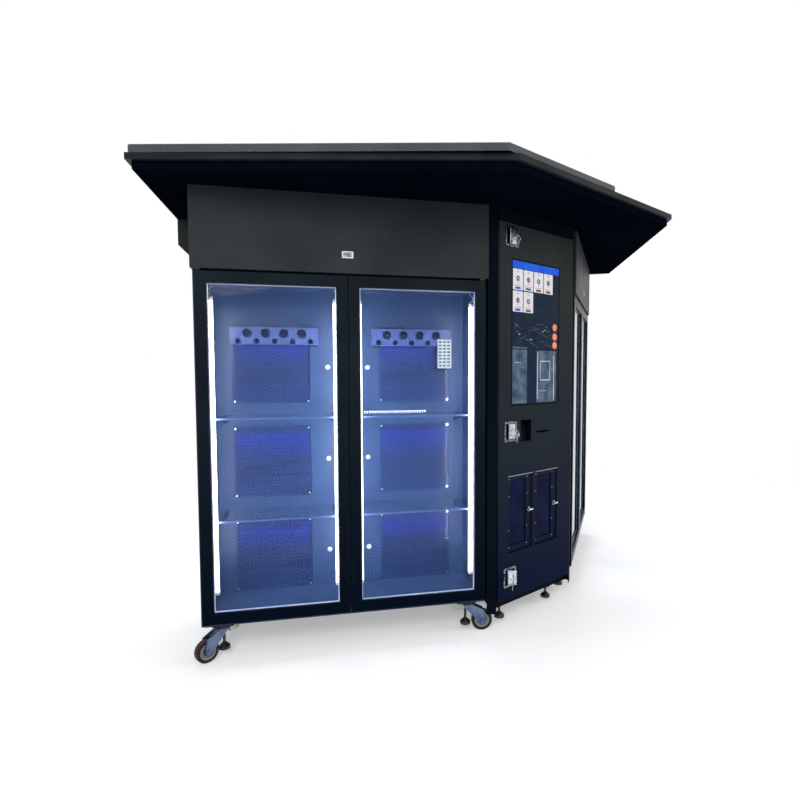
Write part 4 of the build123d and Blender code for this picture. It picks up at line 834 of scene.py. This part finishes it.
# Picture on the touch screen: bar, cards, icons and lit panels
screen_looks = (
    ("background", (26, 38, 46), (14, 30, 54), 0.9), ("blue_bar", (22, 84, 226), (40, 104, 238), 0.9),
    ("white_card", (238, 236, 240), (226, 226, 234), 0.9), ("orange", (240, 132, 84), (228, 112, 70), 0.9),
    ("pale_panel", (104, 120, 136), (52, 72, 96), 0.9), ("grey_mark", (92, 96, 108), (110, 112, 122), 0.8),
    ("teal_mark", (58, 132, 148), (48, 118, 140), 0.8), ("dark_pillar", (14, 32, 56), (18, 42, 72), 0.7),
    ("bright_line", (206, 220, 226), (180, 200, 214), 0.9))
screen_materials = []
for look, colour, second, strength in screen_looks:
    material = glowing("screen_" + look, rgb(*colour), rgb(*second), strength, 18.0, (0.003, 0.004, 0.008, 1))
    material.node_tree.nodes["Principled BSDF"].inputs["Specular IOR Level"].default_value = 0.05
    screen_materials.append(material)
(back_colour, blue_bar, white_card, orange, pale_panel, grey_mark, teal_mark, dark_pillar,
 bright_line) = range(9)
screen_left, screen_right, screen_low, screen_top = -0.196, 0.166, 1.091, 1.772
layer_start, layer_step, layer_depth = -0.00076, 0.00006, 0.00004
bm = bmesh.new()


def screen_shape(points, layer, index):
    """A flat shape of the picture: (x, z) corners in metres, on its own thin layer."""
    out = layer_start + layer_step * layer
    add_slab(bm, [facet_point(x, out, z) for x, z in points], Vector((0, -layer_depth, 0)), index)


def screen_box(x0, x1, z0, z1, layer, index, radius=0.0):
    square = [(x0, z0), (x1, z0), (x1, z1), (x0, z1)]
    screen_shape(rounded_corners(x0, x1, z0, z1, radius, 4) if radius else square, layer, index)


def screen_disc(x, z, radius, layer, index, count=28):
    turns = [2 * math.pi * i / count for i in range(count)]
    screen_shape([(x + radius * math.cos(a), z + radius * math.sin(a)) for a in turns], layer, index)


screen_box(screen_left, screen_right, screen_low, screen_top, 0, back_colour)
screen_box(screen_left, screen_right, 1.738, screen_top, 1, blue_bar)
card_start, card_width, card_height, card_pitch = -0.194, 0.0735, 0.0985, 0.0785
badge_drop, flower_drop, petal_reach = 0.010, 0.044, 0.0085
for row, (top, count) in enumerate(((1.735, 4), (1.6315, 2))):
    for column in range(count):
        x0 = card_start + column * card_pitch
        x1, bottom = x0 + card_width, top - card_height
        middle, badge, flower = (x0 + x1) / 2, top - badge_drop, top - flower_drop
        screen_box(x0, x1, bottom, top, 1, white_card, 0.003)
        screen_disc(middle, badge, 0.0065, 2, grey_mark)
        screen_disc(middle, badge, 0.0045, 3, white_card)
        # A plain flower icon
        for k in range(5):
            a = math.radians(90 + 72 * k + 11 * (column + row))
            x, z = middle + petal_reach * math.cos(a), flower + petal_reach * math.sin(a)
            screen_disc(x, z, 0.0056, 2, grey_mark, 16)
        screen_disc(middle, flower, 0.0045, 3, orange if (column + row) % 2 else white_card, 16)
        screen_box(middle - 0.0012, middle + 0.0012, top - 0.070, top - 0.054, 2, grey_mark)
        screen_box(x0 + 0.008, x1 - 0.016, bottom + 0.0195, bottom + 0.0225, 2, orange)
        button = grey_mark if column else blue_bar
        screen_box(middle - 0.020, middle + 0.020, bottom + 0.004, bottom + 0.015, 2, button, 0.005)
dial_x = 0.136
for z in (1.472, 1.425, 1.382):
    screen_disc(dial_x, z, 0.0195, 1, orange)
    screen_disc(dial_x, z, 0.0115, 2, white_card)
    screen_disc(dial_x, z, 0.0085, 3, orange)
screen_disc(dial_x, 1.344, 0.004, 1, orange, 12)
screen_box(screen_left, screen_right, 1.352, 1.360, 1, dark_pillar)
screen_box(-0.194, -0.085, 1.094, 1.366, 1, pale_panel)
screen_box(-0.010, 0.150, 1.094, 1.352, 1, pale_panel)
screen_box(-0.085, -0.010, screen_low, 1.480, 2, dark_pillar)
for edges in ((-0.005, 0.000, 1.110, 1.345), (0.128, 0.134, 1.100, 1.330), (0.018, 0.100, 1.297, 1.302),
              (0.018, 0.022, 1.205, 1.300), (0.096, 0.100, 1.205, 1.300), (0.018, 0.100, 1.203, 1.208),
              (0.010, 0.070, 1.150, 1.152), (-0.178, -0.130, 1.290, 1.292)):
    screen_box(*edges, 3, bright_line)
rng = random.Random(7)
for i in range(14):
    x, z = rng.uniform(-0.19, 0.06), rng.uniform(1.37, 1.62)
    run, climb = rng.uniform(0.05, 0.10), rng.uniform(-0.035, 0.035)
    if z < 1.51 or x > -0.03:
        far_x, far_z, thick = x + run, z + climb, 0.0018
        screen_shape([(x, z), (far_x, far_z), (far_x, far_z + thick), (x, z + thick)], 3, grey_mark)
for i in range(26):
    x, z = rng.uniform(-0.18, 0.10), rng.uniform(1.36, 1.475)
    far_x, far_z = x + rng.uniform(0.004, 0.022), z + rng.uniform(0.0015, 0.004)
    screen_box(x, far_x, z, far_z, 3, rng.choice((grey_mark, teal_mark, bright_line)))
new_piece("screen_picture", bm, "service_door", *screen_materials, slot="screen")


# Keys and their rings at the paddle locks
blade_half, bow_radius, bow_hole, key_depth = 0.0032, 0.0105, 0.0028, 0.0018
key_outline = [(0, -0.2), (0.15, -0.5), (0.25, -0.25), (0.4, -0.5), (0.55, -0.3), (0.7, -0.5), (1, -0.5),
               (1, 0.5), (0.08, 0.5)]
ring_radius, ring_turns, ring_wire, ring_steps = 0.0145, (-0.0007, 0.0007), 0.0008, 28
hang_drop, blade_inside, hung_length = 0.036, 0.014, 0.0275
lock_x, lock_reach, lock_face = -0.215, 0.026, 0.0035
lock_heights = {"top": 1.880, "middle": 0.962, "bottom": 0.255}
bottom_open = math.radians(52)


def add_key(bm, tip, way, side_way, length):
    """A flat key along a way: a toothed blade and a bow with a hole. Gives the bow's middle."""
    axis = way.cross(side_way).normalized()
    flat = axis * key_depth
    corners = [tip + way * (u * length) + side_way * (v * 2 * blade_half) - flat / 2 for u, v in key_outline]
    add_slab(bm, corners, flat)
    centre = tip + way * (length + bow_radius * 0.85)
    bow = [(bow_hole, 0), (bow_radius, 0), (bow_radius, key_depth), (bow_hole, key_depth), (bow_hole, 0)]
    add_lathe(bm, centre - axis * key_depth / 2, axis, bow, 20)
    return centre


def key_set(lock, face_point, axis):
    """Key in the cylinder, split ring, and a spare key hanging from the ring."""
    bm = bmesh.new()
    across = up_z.cross(axis).normalized()
    bow = add_key(bm, face_point - axis * 0.004, axis, up_z, blade_inside)
    ring_centre = bow + axis * 0.006 - up_z * 0.0125
    ring_axis = (axis * 0.2 + across).normalized()
    e1 = ring_axis.cross(up_z).normalized()
    e2 = ring_axis.cross(e1)
    angles = [2 * math.pi * k / ring_steps for k in range(ring_steps)]
    for turn in ring_turns:
        add_wire(bm, [ring_centre + ring_axis * turn + ring_radius * (e1 * math.cos(a) + e2 * math.sin(a))
                      for a in angles], ring_wire, 8, True)
    hang = ring_centre - up_z * (ring_radius - 0.0075)
    way = Vector((0.12 * across.x, 0.12 * across.y, 1)).normalized()
    add_key(bm, hang - way * hang_drop, way, e1, hung_length)
    new_piece(lock + "_key_ring", bm, lock + "_lock_paddle", chrome, slot="chrome")


for lock, z in lock_heights.items():
    opened = bottom_open if lock == "bottom" else 0.0
    reach = Vector((math.cos(opened), -math.sin(opened), 0))
    face = Vector((-math.sin(opened), -math.cos(opened), 0))
    key_set(lock, facet_point(lock_x, 0.0, z) + reach * lock_reach + face * lock_face, face)

# Pale rim ring and dark bearing cover in the recess of each side of a wheel
recess_floor = 0.0119
ring_profile = [(0.0308, 0), (0.0308, 0.0014), (0.0314, 0.0020), (0.0342, 0.0020), (0.0352, 0.0008),
                (0.0352, 0), (0.0308, 0)]
cover_profile = [(0.0126, 0), (0.0126, 0.0024), (0.0180, 0.0020), (0.0196, 0.0008), (0.0196, 0), (0.0126, 0)]
for name in by_name("wheel"):
    hub = sum(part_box(name), Vector()) / 2
    flanks = (face.normal.copy() for face in nodes[name].data.polygons if abs(face.normal.z) < 0.001
              and abs(abs((face.center - hub).dot(face.normal)) - half_tread) < 0.0002)
    axis = next(flanks)
    bm = bmesh.new()
    for way in (axis, -axis):
        base = hub + way * recess_floor
        add_lathe(bm, base, way, ring_profile, 40, 0)
        add_lathe(bm, base, way, cover_profile, 32, 1)
    body = name.replace("caster_", "").replace("rear_", "back_")
    new_piece(name + "_rings", bm, body, grille_grey, dark_race, slot="white_plastic")

# Bolts that hold the caster plates, and screws on the hatches
plate_under, bolt_along, bolt_out = 0.1422, 0.033, 0.024
hatch_face, screw_starts, screw_heights = -0.008, (0.0175, 0.1525), (0.394, 0.480, 0.645, 0.729)
for side, label in side_names.items():
    bolts = [(wing_point(side, along + ds, out + do, plate_under), -up_z)
             for along in caster_alongs for out in caster_outs
             for ds in (-bolt_along, bolt_along) for do in (-bolt_out, bolt_out)]
    repeat(label + "_plate_bolts", bolts, hex_bolt, "cabinet", bright_metal_and_highlight, smooth=False)
for hatch, x0 in hatch_starts.items():
    screws = [(facet_point(x0 + dx, hatch_face, z), Vector((0, -1, 0)))
              for dx in screw_starts for z in screw_heights]
    repeat(hatch + "_screws", screws, pan_screw, hatch, chrome)

# Louvred service panels on the backs of the wings
panel_start, panel_end, panel_low, panel_high, plate_depth = 0.38, 0.98, 0.24, 0.70, 0.002
louvre_count, louvre_pitch, louvre_height, louvre_inset, louvre_depth = 14, 0.028, 0.012, 0.050, 0.007
panel_out, louvre_rise, screw_inset = rear_out - plate_depth, 0.040, 0.015
for side, label in side_names.items():
    bm = bmesh.new()
    outline = rounded_corners(panel_start, panel_end, panel_low, panel_high, 0.012)
    plate = [wing_point(side, s, rear_out, z) for s, z in outline]
    add_slab(bm, plate, wing_lift(side, -plate_depth), bevel=0.0006)
    for i in range(louvre_count):
        z = panel_low + louvre_rise + i * louvre_pitch
        corners = wing_corners(side, panel_start + louvre_inset, panel_end - louvre_inset,
                               z, z + louvre_height, panel_out)
        add_slab(bm, corners, wing_lift(side, -louvre_depth), bevel=0.0035)
    new_piece(label + "_rear_louvres", bm, "cabinet", satin_black, slot="satin_black")
    screws = [(wing_point(side, s, panel_out, z), wing_lift(side, -1))
              for s in (panel_start + screw_inset, (panel_start + panel_end) / 2, panel_end - screw_inset)
              for z in (panel_low + screw_inset, panel_high - screw_inset)]
    repeat(label + "_rear_screws", screws, pan_screw, "cabinet", dull_steel, size=1.6)

# Painted highlight: a bright strip along the folded edge over each hatch, where light catches it
edge_low, edge_high = 0.7435, 0.7465
bm = bmesh.new()
for x0 in hatch_starts.values():
    x1 = x0 + hatch_width
    strip_edges = ((x0, edge_low), (x1, edge_low), (x1, edge_high), (x0, edge_high))
    add_slab(bm, [facet_point(x, 0.0, z) for x, z in strip_edges], Vector((0, -0.0025, 0)), bevel=0.0006)
new_piece("hatch_head_edges", bm, "service_door", bright_metal_and_highlight, slot="brushed")

# Floor, world and lamps
bm = bmesh.new()
bmesh.ops.create_circle(bm, cap_ends=True, radius=14, segments=96)
floor = link_object("floor", mesh_of("floor", bm))


def seen_rays(tree):
    """1 for camera, glossy and transmission rays."""
    path = place(tree, "ShaderNodeLightPath")
    seen = math_node(tree, "MAXIMUM", path.outputs["Is Camera Ray"], path.outputs["Is Glossy Ray"])
    return math_node(tree, "MAXIMUM", seen, path.outputs["Is Transmission Ray"])


floor_material = bpy.data.materials.new("pale_floor")
floor_material.use_nodes = True
tree = floor_material.node_tree
tree.nodes.clear()
output = tree.nodes.new("ShaderNodeOutputMaterial")
where = object_place(tree)
distance = place(tree, "ShaderNodeVectorMath", {0: where}, operation="LENGTH").outputs["Value"]
far = map_range(tree, distance, 1.8, 4.5)
pale = mix_colour(tree, noise(tree, where, 30.0, 3.0), (0.80, 0.80, 0.80, 1), (0.82, 0.82, 0.82, 1))
matt = place(tree, "ShaderNodeBsdfDiffuse", {"Color": pale})
glow = math_node(tree, "MULTIPLY", seen_rays(tree), 0.3)
lift = place(tree, "ShaderNodeEmission", {"Color": (1, 1, 1, 1), "Strength": glow})
near = place(tree, "ShaderNodeAddShader", {0: matt.outputs[0], 1: lift.outputs[0]})
white = place(tree, "ShaderNodeEmission", {"Color": (1, 1, 1, 1), "Strength": 1.0})
fade = math_node(tree, "MULTIPLY", far, seen_rays(tree))
blend = place(tree, "ShaderNodeMixShader", {0: fade, 1: near.outputs[0], 2: white.outputs[0]})
tree.links.new(blend.outputs[0], output.inputs["Surface"])
floor.data.materials.append(floor_material)

world = bpy.data.worlds.new("studio")
scene.world = world
world.use_nodes = True
tree = world.node_tree
tree.nodes.clear()
output = tree.nodes.new("ShaderNodeOutputWorld")
soft = place(tree, "ShaderNodeBackground", {"Color": (0.93, 0.96, 1.0, 1), "Strength": 0.55})
plain = place(tree, "ShaderNodeBackground", {"Color": (1, 1, 1, 1), "Strength": 1.0})
blend = place(tree, "ShaderNodeMixShader", {0: seen_rays(tree), 1: soft.outputs[0], 2: plain.outputs[0]})
tree.links.new(blend.outputs[0], output.inputs["Surface"])


def soft_lamp(name, location, target, size, power):
    data = bpy.data.lights.new(name, "AREA")
    data.shape = "DISK"
    data.size = size
    data.energy = power
    lamp = link_object(name, data)
    lamp.location = location
    lamp.visible_glossy = False
    lamp.rotation_euler = (Vector(target) - Vector(location)).to_track_quat("-Z", "Y").to_euler()


soft_lamp("key_lamp", (-4.2, -3.6, 3.4), (0, 0, 0.9), 2.6, 170)
soft_lamp("fill_lamp", (3.0, -4.6, 2.4), (0, 0, 1.0), 3.0, 90)
soft_lamp("top_lamp", (0, 0.5, 5.2), (0, 0, 1.0), 3.5, 110)
soft_lamp("back_lamp", (1.5, 4.5, 3.0), (0, 0, 1.0), 3.0, 70)

for template in (pan_screw, hex_bolt, light_dot):
    bpy.data.objects.remove(template)

bpy.context.view_layer.update()
